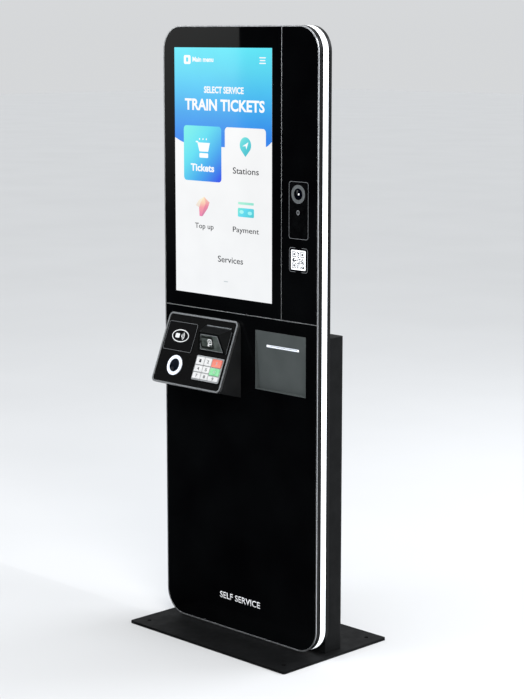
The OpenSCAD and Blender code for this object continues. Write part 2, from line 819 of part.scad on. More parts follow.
module reader_tile() color("#101216") {
    tile(reader_cx, reader_y + reader_h / 2, reader_w, reader_h, 6, face_top, face_top + 1.6);
    tile(reader_cx, reader_y + reader_h / 2, reader_w - 16 - 2 * FIT, reader_h - 16 - 2 * FIT, 4,
         face_under - reader_body + face_t, face_top);
}

// The hood's wedge, drawn in by wall, standing on the face plate
module hood_wedge(wall) {
    y1 = -wall / sin(hood_back);
    y0 = -hood_h + wall / sin(hood_front);
    peak = (y1 - y0) / hood_h;
    low = wall > 0 ? -1 : 0;
    ridge_z = hood_rise * peak;
    on_console(hood_cx, reader_y, face_top) intersection() {
        translate([-hood_w / 2, 0, 0]) rotate([90, 0, 90]) linear_extrude(hood_w)
            polygon([[y0, low], [y1, low], [y1, 0], [y1 - hood_ridge * peak, ridge_z], [y0, 0]]);
        translate([0, 1, 0]) rotate([90, 0, 0]) linear_extrude(hood_h + 2)
            polygon([[-hood_w / 2 + wall, low], [hood_w / 2 - wall, low],
                     [hood_w / 2 - wall, 0], [hood_w / 2 - hood_draw - wall, hood_rise],
                     [-hood_w / 2 + hood_draw + wall, hood_rise], [-hood_w / 2 + wall, 0]]);
    }
}

// The scanner window's outline on the hood's front slope, grown by grow
module window_plate(grow, z0, z1) {
    s0 = window_border - grow;
    s1 = hood_slope - window_border + grow;
    w0 = hood_w / 2 - window_border - 2 + grow;
    draw = hood_draw / hood_slope;
    on_console(hood_cx, reader_y + hood_h, face_top) rotate([hood_front, 0, 0])
        translate([0, 0, z0]) linear_extrude(z1 - z0)
            polygon([[-w0 + s0 * draw, s0], [w0 - s0 * draw, s0],
                     [w0 - s1 * draw, s1], [-w0 + s1 * draw, s1]]);
}

module scanner_hood() color("#16181a") difference() {
    hood_wedge(0);
    hood_wedge(hood_wall);
    window_plate(FIT, -window_t, 2);
    window_plate(-2, -hood_wall - 4, 2);
}

module scanner_window() color("#39453f") window_plate(0, -window_t, 0);

module scanner_engine() color("#2a2c30") {
    tile(hood_cx, engine_y, engine_w, engine_h, 2, -22, face_top - 0.3);
    on_console(hood_cx, engine_y - 2, face_top - 1) cylinder(r = 9, h = 7);
}

// A key's outline, grown by grow, from out0 to out1; keys count from the top left, row by row
module key_outline(i, grow, out0, out1) {
    c = i % 3;
    r = floor(i / 3);
    tile(key_x(c), key_d(c, r), col_w[c] + 2 * grow, rows_of(c)[r] + 2 * grow, 2, out0, out1);
}

module keypad_body() color("#c4c7ca") difference() {
    union() {
        tile(pad_cx, pad_y + pad_h / 2, pad_w, pad_h, 4, face_top, pad_top);
        tile(pad_cx, pad_y + pad_h / 2, pad_w - 2 * pad_lip, pad_h - 2 * pad_lip, 3,
             face_top - pad_body, face_top + 1);
    }
    tile(pad_cx, pad_y + pad_h / 2, pad_w - 2 * pad_lip - 3, pad_h - 2 * pad_lip - 3, 2,
         face_top - pad_body + 2, face_top);
    for (i = [0:8]) key_outline(i, key_fit, face_top - 1, pad_top + 1);
}

module keypad_key(i) color(i == 2 ? "#d8402f" : i == 5 ? "#31a05c" : "#f2f3f3") {
    key_outline(i, 0, face_top - 1.5, pad_top + key_rise);
    key_outline(i, key_flange, face_top - 2.3, face_top - 0.3);
    key_outline(i, -4, key_under, face_top - 2);
}

module button_ring() color("#f4f8ff") on_console(call_cx, call_y) difference() {
    union() {
        translate([0, 0, face_top]) cylinder(r = ring_r, h = 2.6);
        translate([0, 0, barrel_end]) cylinder(r = barrel_r, h = face_top - barrel_end + TINY);
    }
    translate([0, 0, barrel_end - 1]) cylinder(r = cap_r + 0.4, h = 30);
}

module button_cap() color("#101b33") on_console(call_cx, call_y) {
    intersection() {
        translate([0, 0, -9]) cylinder(r = cap_r, h = 13);
        translate([0, 0, 3.2 - 120]) sphere(120);
    }
    translate([0, 0, barrel_end - 2]) cylinder(r = stem_r, h = -barrel_end - 6);
}

module button_switch() color("#2a2c30") on_console(call_cx, call_y) difference() {
    union() {
        translate([0, 0, barrel_end - switch_len]) cylinder(r = barrel_r - 2, h = switch_len);
        for (s = [-1, 1]) translate([s * 7 - 3, -0.5, barrel_end - switch_len - 8]) cube([6, 1, 9]);
    }
    translate([0, 0, barrel_end - 10]) cylinder(r = stem_r + 0.4, h = 11);
}

// ---------- ticket niche and printer ----------

// A side-view outline, extruded from x0 to x1
module side_cut(x0, x1) translate([x0, 0, 0]) rotate([90, 0, 90]) linear_extrude(x1 - x0) children();

module printer_bezel() color("#505454") difference() {
    union() {
        side_cut(niche_x0, niche_x1) polygon([
            [front_y, niche_z0], [front_y, niche_z1], [front_y + glass_t + 2, niche_z1],
            [front_y + niche_depth + niche_wall, niche_z0]]);
        block([niche_x0 - niche_flange, panel_back, niche_z0 - niche_flange],
              [niche_x1 + niche_flange, panel_back + 2, niche_z1 + niche_flange]);
    }
    side_cut(niche_x0 + niche_wall, niche_x1 - niche_wall) polygon([
        [front_y - 1, niche_z0 + niche_wall], [front_y - 1, niche_z1 - niche_wall],
        [front_y + TINY, niche_z1 - niche_wall],
        [front_y + niche_depth, niche_z0 + niche_wall]]);
    side_cut(niche_x0 + niche_wall, niche_x1 - niche_wall) polygon([
        [front_y + niche_depth + niche_wall, niche_z0 + niche_wall],
        [front_y + niche_wall, niche_z1 - niche_wall],
        [front_y + 30, niche_z1 - niche_wall], [front_y + 30, niche_z0 + niche_wall]]);
    block([slot_cx - slot_w / 2 - 0.1, front_y - 1, slot_z - slot_h / 2 - 0.1],
          [slot_cx + slot_w / 2 + 0.1, front_y + 20, slot_z + slot_h / 2 + 0.1]);
}

module slot_light() color("white") difference() {
    union() {
        block([slot_cx - slot_w / 2, slot_y - 0.8, slot_z - slot_h / 2],
              [slot_cx + slot_w / 2, slot_y + 2.5, slot_z + slot_h / 2]);
        block([slot_cx - slot_w / 2 - 3, slot_y + 2.4, slot_z - slot_h / 2 - 3],
              [slot_cx + slot_w / 2 + 3, slot_y + 4, slot_z + slot_h / 2 + 3]);
    }
    block([slot_cx - slot_w / 2 + 5, slot_y - 5, slot_z - slot_open / 2],
          [slot_cx + slot_w / 2 - 5, slot_y + 8, slot_z + slot_open / 2]);
}

module printer_frame() color("#8d9094") translate([printer_x, 0, 0]) difference() {
    union() {
        for (x = [-side_x - bay_t, side_x]) side_cut(x, x + bay_t) polygon([
            [bay_front, bay_top - 1], [bay_front, slot_z - 20], [bay_low_front, bay_low - 1],
            [bay_back, bay_low - 1], [bay_back, bay_top - 1]]);
        block([-side_x - bay_t, bay_front + 3, bay_top - bay_t], [side_x + bay_t, back_y, bay_top]);
        block([-side_x - bay_t, bay_low_front, bay_low - bay_t], [side_x + bay_t, bay_back, bay_low]);
        block([mount_x, motor_y - 22, motor_z - 22], [mount_x + 2, motor_y + 22, motor_z + 18]);
        for (p = [[18, -18], [-18, -18], [18, 14]])
            rod_x(motor_y + p.x, motor_z + p.y, post_r, side_x + bay_t - 0.5, mount_x + 0.5);
    }
    rod_x(platen_y, platen_z, shaft_r + run_gap, -side_x - bay_t - 1, side_x + bay_t + 1);
    rod_x(roll_y, roll_z, spindle_r, -side_x - bay_t - 1, side_x + bay_t + 1);
    rod_x(motor_y, motor_z, 5 + FIT, mount_x - 1, mount_x + 3);
}

module thermal_head() color("#74777b") translate([printer_x, 0, 0]) {
    block([-side_x + FIT, platen_y - 7, slot_z + 0.3], [side_x - FIT, platen_y + 9, slot_z + 3]);
    for (i = [0:5]) block([-side_x + 6, platen_y - 6 + i * 2.6, slot_z + 3],
                          [side_x - 6, platen_y - 5 + i * 2.6, slot_z + 9]);
}

module platen_roller() color("#202224") translate([printer_x, 0, 0]) {
    rod_x(platen_y, platen_z, platen_r, -side_x + 4, side_x - 4);
    rod_x(platen_y, platen_z, shaft_r, -side_x - bay_t, gear_x + gear_w + 0.5);
}

module platen_gear() color("#e8e4d6") translate([printer_x + gear_x, platen_y, platen_z])
    rotate([90, 0, 90]) linear_extrude(gear_w) difference() {
        spur_outline(gear_teeth, -45);
        circle(shaft_r);
    }

module motor_pinion() color("#c9a85c") translate([printer_x + gear_x, motor_y, motor_z])
    rotate([90, 0, 90]) {
        linear_extrude(gear_w) spur_outline(pinion_teeth, 135 + 180 / pinion_teeth);
        cylinder(r = motor_shaft_r, h = mount_x - gear_x + 8);
    }

module printer_motor() color("#4a4d51") translate([printer_x, 0, 0]) difference() {
    union() {
        rod_x(motor_y, motor_z, motor_r, mount_x + 2, mount_x + 2 + motor_len);
        rod_x(motor_y, motor_z, 5, mount_x + 0.4, mount_x + 2.1);
    }
    rod_x(motor_y, motor_z, motor_shaft_r + run_gap, mount_x - 1, mount_x + 11);
}

module cutter_blade() color("#cfd2d6") translate([printer_x, 0, 0])
    block([-side_x + 0.6, blade_y, slot_z + 2.2], [side_x - 0.6, blade_y + blade_t, slot_z + 13]);

module paper_roll() color("#f5f5f0") translate([printer_x, 0, 0]) difference() {
    rod_x(roll_y, roll_z, roll_r, -paper_w / 2, paper_w / 2);
    rod_x(roll_y, roll_z, spindle_r + 0.4, -paper_w / 2 - 1, paper_w / 2 + 1);
}

module roll_spindle() color("#2a2c30") translate([printer_x, 0, 0])
    rod_x(roll_y, roll_z, spindle_r, -side_x - bay_t, side_x + bay_t);

// ---------- fan, computer and power ----------

module fan_frame() color("#1d1f21") translate([fan_x, 0, fan_z]) {
    upright(fan_y, fan_y + fan_d) difference() {
        rounded(fan_w, fan_w, 4);
        circle(fan_bore);
        for (sx = [-1, 1], sz = [-1, 1])
            translate([sx * (fan_w / 2 - 5), sz * (fan_w / 2 - 5)]) circle(2);
    }
    upright(fan_y, fan_y + 2) difference() {
        union() {
            circle(fan_hub);
            for (a = [30, 150, 270]) rotate(a) translate([0, -2]) square([fan_bore + 1, 4]);
        }
        circle(fan_shaft_r + run_gap);
    }
}

module fan_impeller() color("#34373b") translate([fan_x, 0, fan_z]) {
    rod_y(0, 0, fan_hub, fan_y + 2.5, fan_y + fan_d - 1);
    rod_y(0, 0, fan_shaft_r, fan_y, fan_y + 3);
    intersection() {
        rod_y(0, 0, fan_bore - 1, fan_y + 2.6, fan_y + fan_d - 1.1);
        for (i = [0:fan_blades - 1]) rotate([0, i * 360 / fan_blades, 0])
            translate([fan_hub - 2, fan_y + fan_d / 2 + 0.8, 0]) rotate([-50, 0, 0])
                translate([0, -14, -0.8]) cube([fan_bore, 28, 1.6]);
    }
}

module computer() color("#2d3033") translate([pc_x, box_in, pc_z]) {
    cube([pc_w, pc_d - 8, pc_h]);
    for (i = [0:14]) translate([8 + i * (pc_w - 19) / 14, pc_d - 9, 8]) cube([3, 9, pc_h - 16]);
}

module power_supply() color("#a9acb0") translate([psu_x, box_in, psu_z]) difference() {
    cube([psu_w, psu_d, psu_h]);
    for (i = [0:9]) translate([20 + i * (psu_w - 40) / 10, psu_d - 1.5, 14]) cube([5, 3, psu_h - 28]);
}

module power_inlet() color("#141517") translate([inlet_x, 0, inlet_z]) {
    difference() {
        union() {
            block([-inlet_w / 2, box_back, -inlet_h / 2], [inlet_w / 2, box_back + 2, inlet_h / 2]);
            block([-inlet_w / 2 + 4 + FIT, box_back - 24, -inlet_h / 2 + 4 + FIT],
                  [inlet_w / 2 - 4 - FIT, box_back + TINY, inlet_h / 2 - 4 - FIT]);
        }
        block([-34, box_back - 16, -8], [-8, box_back + 3, 8]);
        block([4, box_back - 14, -9.5], [30, box_back + 3, 9.5]);
    }
    for (p = [[-28, 0], [-21, 3], [-14, 0]])
        block([p.x - 1, box_back - 16.5, p.y - 2], [p.x + 1, box_back - 8, p.y + 2]);
}

module power_switch() color("#c43a2e") translate([inlet_x, rocker_y, inlet_z])
    rotate([rocker_tilt, 0, 0]) {
        rod_x(-5, 0, 5, 5, 29);
        rod_x(-5, 0, 1.5, 4.2, 29.8);
        block([5, -5, -8], [29, 1, 8]);
    }

// ---------- what is drawn ----------

base_plate();
base_bolts();
rear_box();
rear_door();
hinge_lower();
hinge_upper();
lock_body();
lock_cam();
slab_frame();
front_trim();
led_diffuser();
led_strip();
divider_trim();
touch_glass();
side_panel();
lower_panel();
display_panel();
display_rails();
rear_cover();
cover_screws();
camera_housing();
camera_lens();
code_sign();
console_housing();
console_trim();
console_face();
reader_tile();
scanner_hood();
scanner_window();
scanner_engine();
keypad_body();
button_ring();
button_cap();
button_switch();
printer_bezel();
slot_light();
printer_frame();
thermal_head();
platen_roller();
platen_gear();
printer_motor();
motor_pinion();
cutter_blade();
paper_roll();
roll_spindle();
fan_frame();
fan_impeller();
computer();
power_supply();
power_inlet();
power_switch();
for (i = [0:8]) keypad_key(i);
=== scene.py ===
# Looks of a slim self-service ticket kiosk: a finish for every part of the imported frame, the lit page on its
# touch screen, printed marks, key legends, a floor, studio lights and the camera. Metres, +Z up, +Y back.
import json
import math
import random

import bpy
from mathutils import Matrix, Vector


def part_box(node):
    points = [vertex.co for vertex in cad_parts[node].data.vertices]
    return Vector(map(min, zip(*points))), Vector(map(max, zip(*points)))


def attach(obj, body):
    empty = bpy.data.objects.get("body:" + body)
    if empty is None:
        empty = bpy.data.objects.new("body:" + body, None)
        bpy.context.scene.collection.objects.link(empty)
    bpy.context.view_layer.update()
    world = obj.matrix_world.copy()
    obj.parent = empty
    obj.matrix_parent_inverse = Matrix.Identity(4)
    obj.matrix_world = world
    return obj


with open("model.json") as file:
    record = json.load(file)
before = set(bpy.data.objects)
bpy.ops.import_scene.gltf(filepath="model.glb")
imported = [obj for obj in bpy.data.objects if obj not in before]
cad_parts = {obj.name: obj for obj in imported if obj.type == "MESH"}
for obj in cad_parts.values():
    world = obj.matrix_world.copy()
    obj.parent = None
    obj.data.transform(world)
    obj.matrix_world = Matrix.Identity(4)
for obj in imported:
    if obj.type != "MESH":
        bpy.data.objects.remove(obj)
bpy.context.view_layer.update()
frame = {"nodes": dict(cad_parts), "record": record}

MM = 0.001

# The coating on the front glass leaves this share of the usual reflection, as a specular level
COATED = 0.14

# ---------- camera ----------

CAMERA_AT = Vector((3.714, -3.662, 1.727))
CAMERA_LOOK = Vector((-0.69973, 0.69437, -0.16800))
CAMERA_LENS = 95.38

camera = bpy.data.objects.new("camera", bpy.data.cameras.new("camera"))
camera.data.lens = CAMERA_LENS
camera.location = CAMERA_AT
camera.rotation_euler = CAMERA_LOOK.to_track_quat("-Z", "Y").to_euler()
bpy.context.scene.collection.objects.link(camera)
bpy.context.scene.camera = camera

# ---------- surfaces that carry printed pieces ----------

# Each surface is a turn about X that lays its own X across, its own Y up and its own Z outwards.
CONSOLE_TILT = 22
HOOD_RISE = 33
HOOD_RUN = 50
HOOD_DRAW = 16
FRONT = Matrix.Rotation(math.radians(90), 4, "X")
CONSOLE = Matrix.Rotation(math.radians(90 - CONSOLE_TILT), 4, "X")
SCANNER = CONSOLE @ Matrix.Rotation(math.atan2(HOOD_RISE, HOOD_RUN), 4, "X")

# Printed layers are this thick, and each lies this far above the one below it
LAYER = 0.25


def span(node, surface):
    """Lowest and highest corner of a CAD part along a surface's own axes, in millimetres."""
    turn = surface.inverted()
    corners = [turn @ v.co / MM for v in frame["nodes"][node].data.vertices]
    return Vector(map(min, zip(*corners))), Vector(map(max, zip(*corners)))


def middle(node, surface):
    """A CAD part's centre across and up on a surface, and its outermost height."""
    low, high = span(node, surface)
    return (low.x + high.x) / 2, (low.y + high.y) / 2, high.z


# ---------- materials ----------

def linear(code):
    """An sRGB hex colour, turned to linear."""
    parts = [int(code[i:i + 2], 16) / 255 for i in (1, 3, 5)]
    return (*[p / 12.92 if p <= 0.04045 else ((p + 0.055) / 1.055) ** 2.4 for p in parts], 1)


def add(tree, kind, inputs=None, **settings):
    """Adds a node with its settings, and fills its inputs with values or links."""
    node = tree.nodes.new(kind)
    for key, value in settings.items():
        setattr(node, key, value)
    for key, value in (inputs or {}).items():
        if isinstance(value, bpy.types.NodeSocket):
            tree.links.new(value, node.inputs[key])
        else:
            node.inputs[key].default_value = value
    return node


def start(name, **sockets):
    """A material with one Principled shader, whose plain sockets are set by their names."""
    material = bpy.data.materials.new(name)
    material.use_nodes = True
    shader = material.node_tree.nodes["Principled BSDF"]
    for key, value in sockets.items():
        shader.inputs[key.replace("_", " ")].default_value = value
    return material, material.node_tree, shader


# Nearly all of a noise pattern's values lie between these two
NOISE_LOW = 0.3
NOISE_HIGH = 0.7


def patches(tree, size_mm, low, high, stretch=(1, 1, 1), detail=2.0):
    """Soft random patches about size_mm across, as a value that runs from low to high."""
    place = add(tree, "ShaderNodeTexCoord").outputs["Object"]
    drawn = add(tree, "ShaderNodeMapping", {"Vector": place, "Scale": stretch}).outputs["Vector"]
    noise = add(tree, "ShaderNodeTexNoise", {"Vector": drawn, "Scale": 1 / (size_mm * MM), "Detail": detail})
    ranged = add(tree, "ShaderNodeMapRange", {"Value": noise.outputs["Fac"], "From Min": NOISE_LOW,
                                              "From Max": NOISE_HIGH, "To Min": low, "To Max": high})
    return ranged.outputs["Result"]


def tint(tree, socket, factor, dark, pale):
    """Colours a socket between two sRGB hex colours, by a factor that runs from 0 to 1."""
    mixed = add(tree, "ShaderNodeMix", {0: factor, 6: linear(dark), 7: linear(pale)}, data_type="RGBA")
    tree.links.new(mixed.outputs[2], socket)


def relief(tree, height, depth_mm, edge_mm=0.6):
    """A bumped normal whose relief is depth_mm deep, on edges broken to a small radius."""
    edge = add(tree, "ShaderNodeBevel", {"Radius": edge_mm * MM}, samples=4)
    bump = add(tree, "ShaderNodeBump", {"Height": height, "Strength": 1.0, "Distance": depth_mm * MM,
                                        "Normal": edge.outputs["Normal"]})
    return bump.outputs["Normal"]


def powder_coat(name, dark, pale, rough, peel_mm, depth_mm, gloss=0.5):
    """Baked powder paint on sheet steel. The orange peel breaks up each highlight, and the gloss wanders."""
    material, tree, shader = start(name, IOR=1.5, Specular_IOR_Level=gloss)
    tint(tree, shader.inputs["Base Color"], patches(tree, 60, 0, 1), dark, pale)
    tree.links.new(patches(tree, 25, rough - 0.05, rough + 0.06), shader.inputs["Roughness"])
    tree.links.new(relief(tree, patches(tree, peel_mm, 0, 1), depth_mm), shader.inputs["Normal"])
    return material


def anodised(name, dark, pale, rough, draw=(1, 1, 1), edge_mm=0.6):
    """Bead-blasted, anodised aluminium. The blasting gives a soft even glow, the drawing faint lines."""
    material, tree, shader = start(name, Metallic=1.0)
    lines = patches(tree, 4, 0, 1, draw)
    tint(tree, shader.inputs["Base Color"], lines, dark, pale)
    tree.links.new(patches(tree, 6, rough - 0.06, rough + 0.08, draw), shader.inputs["Roughness"])
    tree.links.new(relief(tree, patches(tree, 0.8, 0, 1), 0.01, edge_mm), shader.inputs["Normal"])
    return material


def brushed(name, dark, pale, rough, draw, grain_mm=1.2):
    """Brushed or ground steel. The long scratches stretch each highlight across the grain."""
    material, tree, shader = start(name, Metallic=1.0, Anisotropic=0.4)
    scratches = patches(tree, grain_mm, 0, 1, draw, 4.0)
    tint(tree, shader.inputs["Base Color"], scratches, dark, pale)
    tree.links.new(patches(tree, grain_mm * 2, rough - 0.08, rough + 0.1, draw), shader.inputs["Roughness"])
    tree.links.new(relief(tree, scratches, 0.02), shader.inputs["Normal"])
    return material


def zinc_plate(name, dark, pale, rough):
    """Bright zinc plating, whose spangle shows as crystal patches with their own shine."""
    material, tree, shader = start(name, Metallic=1.0)
    place = add(tree, "ShaderNodeTexCoord").outputs["Object"]
    spangle = add(tree, "ShaderNodeTexVoronoi", {"Vector": place, "Scale": 1 / (5 * MM)})
    shade = add(tree, "ShaderNodeSeparateColor", {"Color": spangle.outputs["Color"]}).outputs["Red"]
    gloss = add(tree, "ShaderNodeMapRange", {"Value": shade, "To Min": rough - 0.1, "To Max": rough + 0.12})
    tint(tree, shader.inputs["Base Color"], shade, dark, pale)
    tree.links.new(gloss.outputs["Result"], shader.inputs["Roughness"])
    tree.links.new(relief(tree, patches(tree, 2, 0, 1), 0.02), shader.inputs["Normal"])
    return material


def moulded(name, dark, pale, rough, grain_mm, depth_mm, gloss=0.5):
    """Injection-moulded plastic. The eroded mould leaves a fine grain, and handling an uneven shine."""
    material, tree, shader = start(name, IOR=1.5, Specular_IOR_Level=gloss)
    tint(tree, shader.inputs["Base Color"], patches(tree, 18, 0, 1), dark, pale)
    tree.links.new(patches(tree, 14, rough - 0.06, rough + 0.08), shader.inputs["Roughness"])
    tree.links.new(relief(tree, patches(tree, grain_mm, 0, 1), depth_mm), shader.inputs["Normal"])
    return material


def black_glass():
    """Toughened glass, printed black on its back: a deep black under a mirror, coated against glare."""
    material, tree, shader = start("back-printed toughened glass", IOR=1.33, Specular_IOR_Level=COATED)
    tint(tree, shader.inputs["Base Color"], patches(tree, 180, 0, 1), "#030304", "#070809")
    tree.links.new(patches(tree, 90, 0.01, 0.025), shader.inputs["Roughness"])
    tree.links.new(relief(tree, patches(tree, 220, 0, 1), 0.02, 0.3), shader.inputs["Normal"])
    return material


def lit_acrylic(name, cool, warm, power, pitch_mm):
    """Opal acrylic over a row of diodes: it glows evenly, with a faint pulse at each diode."""
    material, tree, shader = start(name, Roughness=0.3, IOR=1.49, Base_Color=linear("#f2f5fa"),
                                   Emission_Strength=power)
    tint(tree, shader.inputs["Emission Color"], patches(tree, pitch_mm, 0, 1), cool, warm)
    tree.links.new(relief(tree, patches(tree, 1.5, 0, 1), 0.01), shader.inputs["Normal"])
    return material


def lit_line(name, centre, surface, flatten, radius_mm, half_mm, powers, tints):
    """A light guide moulded in opal acrylic. It is brightest along its middle, which is a ring of a given
    radius round the centre, or a straight line where the radius is 0, and cooler and dimmer at its edges."""
    material, tree, shader = start(name, Roughness=0.25, IOR=1.49, Base_Color=linear("#e8eef8"))
    place = add(tree, "ShaderNodeTexCoord").outputs["Object"]
    local = add(tree, "ShaderNodeMapping", {"Vector": place, "Location": centre,
                                            "Rotation": surface.to_euler(), "Scale": flatten},
                vector_type="TEXTURE")
    away = add(tree, "ShaderNodeVectorMath", {0: local.outputs["Vector"]}, operation="LENGTH")
    off = add(tree, "ShaderNodeMath", {0: away.outputs["Value"], 1: radius_mm * MM}, operation="SUBTRACT")
    off = add(tree, "ShaderNodeMath", {0: off.outputs["Value"]}, operation="ABSOLUTE")
    edge = add(tree, "ShaderNodeMapRange", {"Value": off.outputs["Value"], "From Max": half_mm * MM},
               interpolation_type="SMOOTHSTEP").outputs["Result"]
    power = add(tree, "ShaderNodeMapRange", {"Value": edge, "To Min": powers[0], "To Max": powers[1]})
    tree.links.new(power.outputs["Result"], shader.inputs["Emission Strength"])
    tint(tree, shader.inputs["Emission Color"], edge, tints[0], tints[1])
    return material


def rubber():
    """Ground platen rubber: matt black, with the fine rings that grinding leaves."""
    material, tree, shader = start("ground platen rubber", IOR=1.52)
    rings = patches(tree, 1.5, 0, 1, (8, 1, 1))
    tint(tree, shader.inputs["Base Color"], rings, "#1b1b1d", "#29292b")
    tree.links.new(patches(tree, 8, 0.62, 0.8), shader.inputs["Roughness"])
    tree.links.new(relief(tree, rings, 0.03), shader.inputs["Normal"])
    return material


def thermal_paper():
    """Thermal paper on a roll: bright, faintly warm, with the edges of its wound layers as fine rings."""
    material, tree, shader = start("thermal paper", IOR=1.4)
    axis = Vector(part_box("roll_spindle")[0]).lerp(Vector(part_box("roll_spindle")[1]), 0.5)
    place = add(tree, "ShaderNodeTexCoord").outputs["Object"]
    centred = add(tree, "ShaderNodeMapping", {"Vector": place, "Location": (0, -axis.y, -axis.z),
                                              "Scale": (0, 1, 1)})
    rings = add(tree, "ShaderNodeTexWave", {"Vector": centred.outputs["Vector"], "Scale": 1 / (6 * MM),
                                            "Distortion": 1.5, "Detail Scale": 3.0},
                wave_type="RINGS", rings_direction="SPHERICAL").outputs["Fac"]
    tint(tree, shader.inputs["Base Color"], rings, "#e2dfd6", "#f7f6f1")
    tree.links.new(patches(tree, 4, 0.55, 0.75), shader.inputs["Roughness"])
    tree.links.new(relief(tree, rings, 0.05), shader.inputs["Normal"])
    return material


def coated_lens():
    """Coated optical glass: near-black, with the violet-blue bloom of its coating."""
    material, tree, shader = start("coated optical glass", IOR=1.5, Specular_IOR_Level=0.2)
    tint(tree, shader.inputs["Base Color"], patches(tree, 12, 0, 1), "#010102", "#030510")
    tree.links.new(patches(tree, 10, 0.03, 0.07), shader.inputs["Roughness"])
    return material


def smoked_window():
    """Smoked acrylic over the scan engine: dark grey-green, glossy, with light wiping marks."""
    material, tree, shader = start("smoked acrylic", IOR=1.49, Coat_Weight=0.4, Coat_Roughness=0.05)
    tint(tree, shader.inputs["Base Color"], patches(tree, 22, 0, 1), "#353c39", "#565d5a")
    tree.links.new(patches(tree, 3, 0.1, 0.2, (1, 5, 5)), shader.inputs["Roughness"])
    return material


button_middle = Vector(middle("button_ring", CONSOLE)) * MM
slot_middle = Vector(middle("slot_light", FRONT)) * MM

# A pattern scaled by this much along an axis no longer changes along it
FLAT = 1e6

# The light guides, in millimetres: the ring's middle radius, and half the width of each lit line
RING_R = 25.3
RING_HALF = 3.7
SLOT_HALF = 2.5

# Stretches that draw a pattern out into lines along one axis
ALONG_Z = (1, 1, 0.03)
ALONG_X = (0.03, 1, 1)

FINISHES = {
    "black_steel": powder_coat("black powder-coated steel", "#090a0b", "#101112", 0.7, 2.5, 0.05, 0.12),
    "black_frame": powder_coat("satin black extrusion", "#08090a", "#0e0f10", 0.34, 2.0, 0.03, 0.14),
    "console_shell": powder_coat("charcoal powder coat", "#18191a", "#202122", 0.46, 2.0, 0.05, 0.25),
    "niche_grey": powder_coat("grey powder-coated niche", "#444a4a", "#4a5050", 0.5, 2.0, 0.03),
    "motor_steel": powder_coat("black zinc motor can", "#26272a", "#303236", 0.36, 3.0, 0.02),
    "silver_trim": anodised("clear anodised trim", "#c9cbce", "#eef0f2", 0.42, ALONG_Z, 1.0),
    "console_trim": anodised("bead-blasted anodised trim", "#7d7f81", "#a0a2a3", 0.5, (1, 1, 1), 1.2),
    "computer_black": anodised("black anodised heat sink", "#1b1c1f", "#26282b", 0.4),
    "psu": anodised("mill aluminium cage", "#9da0a4", "#b9bbbf", 0.38, ALONG_X),
    "head_metal": anodised("cast head carrier", "#85888c", "#9b9ea2", 0.45),
    "black_glass": black_glass(),
    "light_diffuser": lit_acrylic("opal acrylic, edge lit", "#f3f8ff", "#ffffff", 0.85, 18),
    "light_strip": lit_acrylic("diode strip", "#f6f8ff", "#fffbee", 1.2, 8),
    "slot_light": lit_line("slot light guide", FRONT @ slot_middle, FRONT, (FLAT, 1, FLAT), 0, SLOT_HALF,
                           (1.5, 0.02), ("#ffffff", "#8f989d")),
    "button_light": lit_line("button light guide", CONSOLE @ button_middle, CONSOLE, (1, 1, FLAT), RING_R,
                             RING_HALF, (1.4, 0.02), ("#ffffff", "#2a5fc4")),
    "sign": lit_acrylic("lit sign face", "#f0f2f4", "#fafbfc", 0.7, 20),
    "display": moulded("black display casing", "#141516", "#1d1e20", 0.55, 1.2, 0.03),
    "camera_black": moulded("polished black camera plate", "#040405", "#08090a", 0.1, 8.0, 0.004, COATED),
    "console_black": moulded("semi-gloss black face plate", "#030303", "#060607", 0.22, 6.0, 0.001, 0.06),
    "reader": moulded("gloss black reader cover", "#030304", "#060608", 0.12, 8.0, 0.001, 0.06),
    "hood": moulded("black scanner hood", "#070809", "#0d0f0f", 0.32, 1.0, 0.01, 0.12),
    "electronics": moulded("dark moulded casing", "#222428", "#2d3034", 0.5, 1.2, 0.03),
    "key_white": moulded("white key caps", "#d6d7d7", "#e6e6e6", 0.45, 0.8, 0.015),
    "key_red": moulded("red key cap", "#dc6f5e", "#ea8b79", 0.45, 0.8, 0.015),
    "key_green": moulded("green key cap", "#6dc585", "#92dca4", 0.45, 0.8, 0.015),
    "button_navy": moulded("navy button cap", "#03060c", "#060c18", 0.16, 3.0, 0.002, 0.06),
    "gear_plastic": moulded("natural acetal", "#d8d2c1", "#e6e1d2", 0.38, 1.5, 0.01),
    "fan_black": moulded("black glass-filled fan", "#131315", "#1c1c1e", 0.48, 1.0, 0.02),
    "rocker_red": moulded("red switch rocker", "#a51f14", "#bd2b1d", 0.25, 1.5, 0.01),
    "zinc": zinc_plate("zinc plate", "#9fa2a6", "#c4c7ca", 0.34),
    "screws": zinc_plate("bright plated screws", "#b4b6b9", "#d3d5d7", 0.26),
    "lock_metal": zinc_plate("nickel-plated lock", "#b6b4ae", "#d2d0ca", 0.22),
    "keypad_metal": brushed("satin steel keypad plate", "#9fa1a2", "#b9bbbc", 0.5, ALONG_X),
    "steel": brushed("rolled steel plate", "#8f9296", "#aaadb1", 0.4, ALONG_Z, 2.0),
    "blade_steel": brushed("ground cutter steel", "#a6a9ad", "#c6c9cc", 0.25, ALONG_Z),
    "brass": brushed("turned brass", "#a8812f", "#c79d48", 0.3, (8, 1, 1)),
    "rubber": rubber(),
    "paper": thermal_paper(),
    "lens": coated_lens(),
    "scan_glass": smoked_window(),
}

for part in frame["record"]["subparts"]:
    shown = frame["nodes"][part["node"]]
    shown.data.materials.clear()
    shown.data.materials.append(FINISHES[part["material_slot"]])


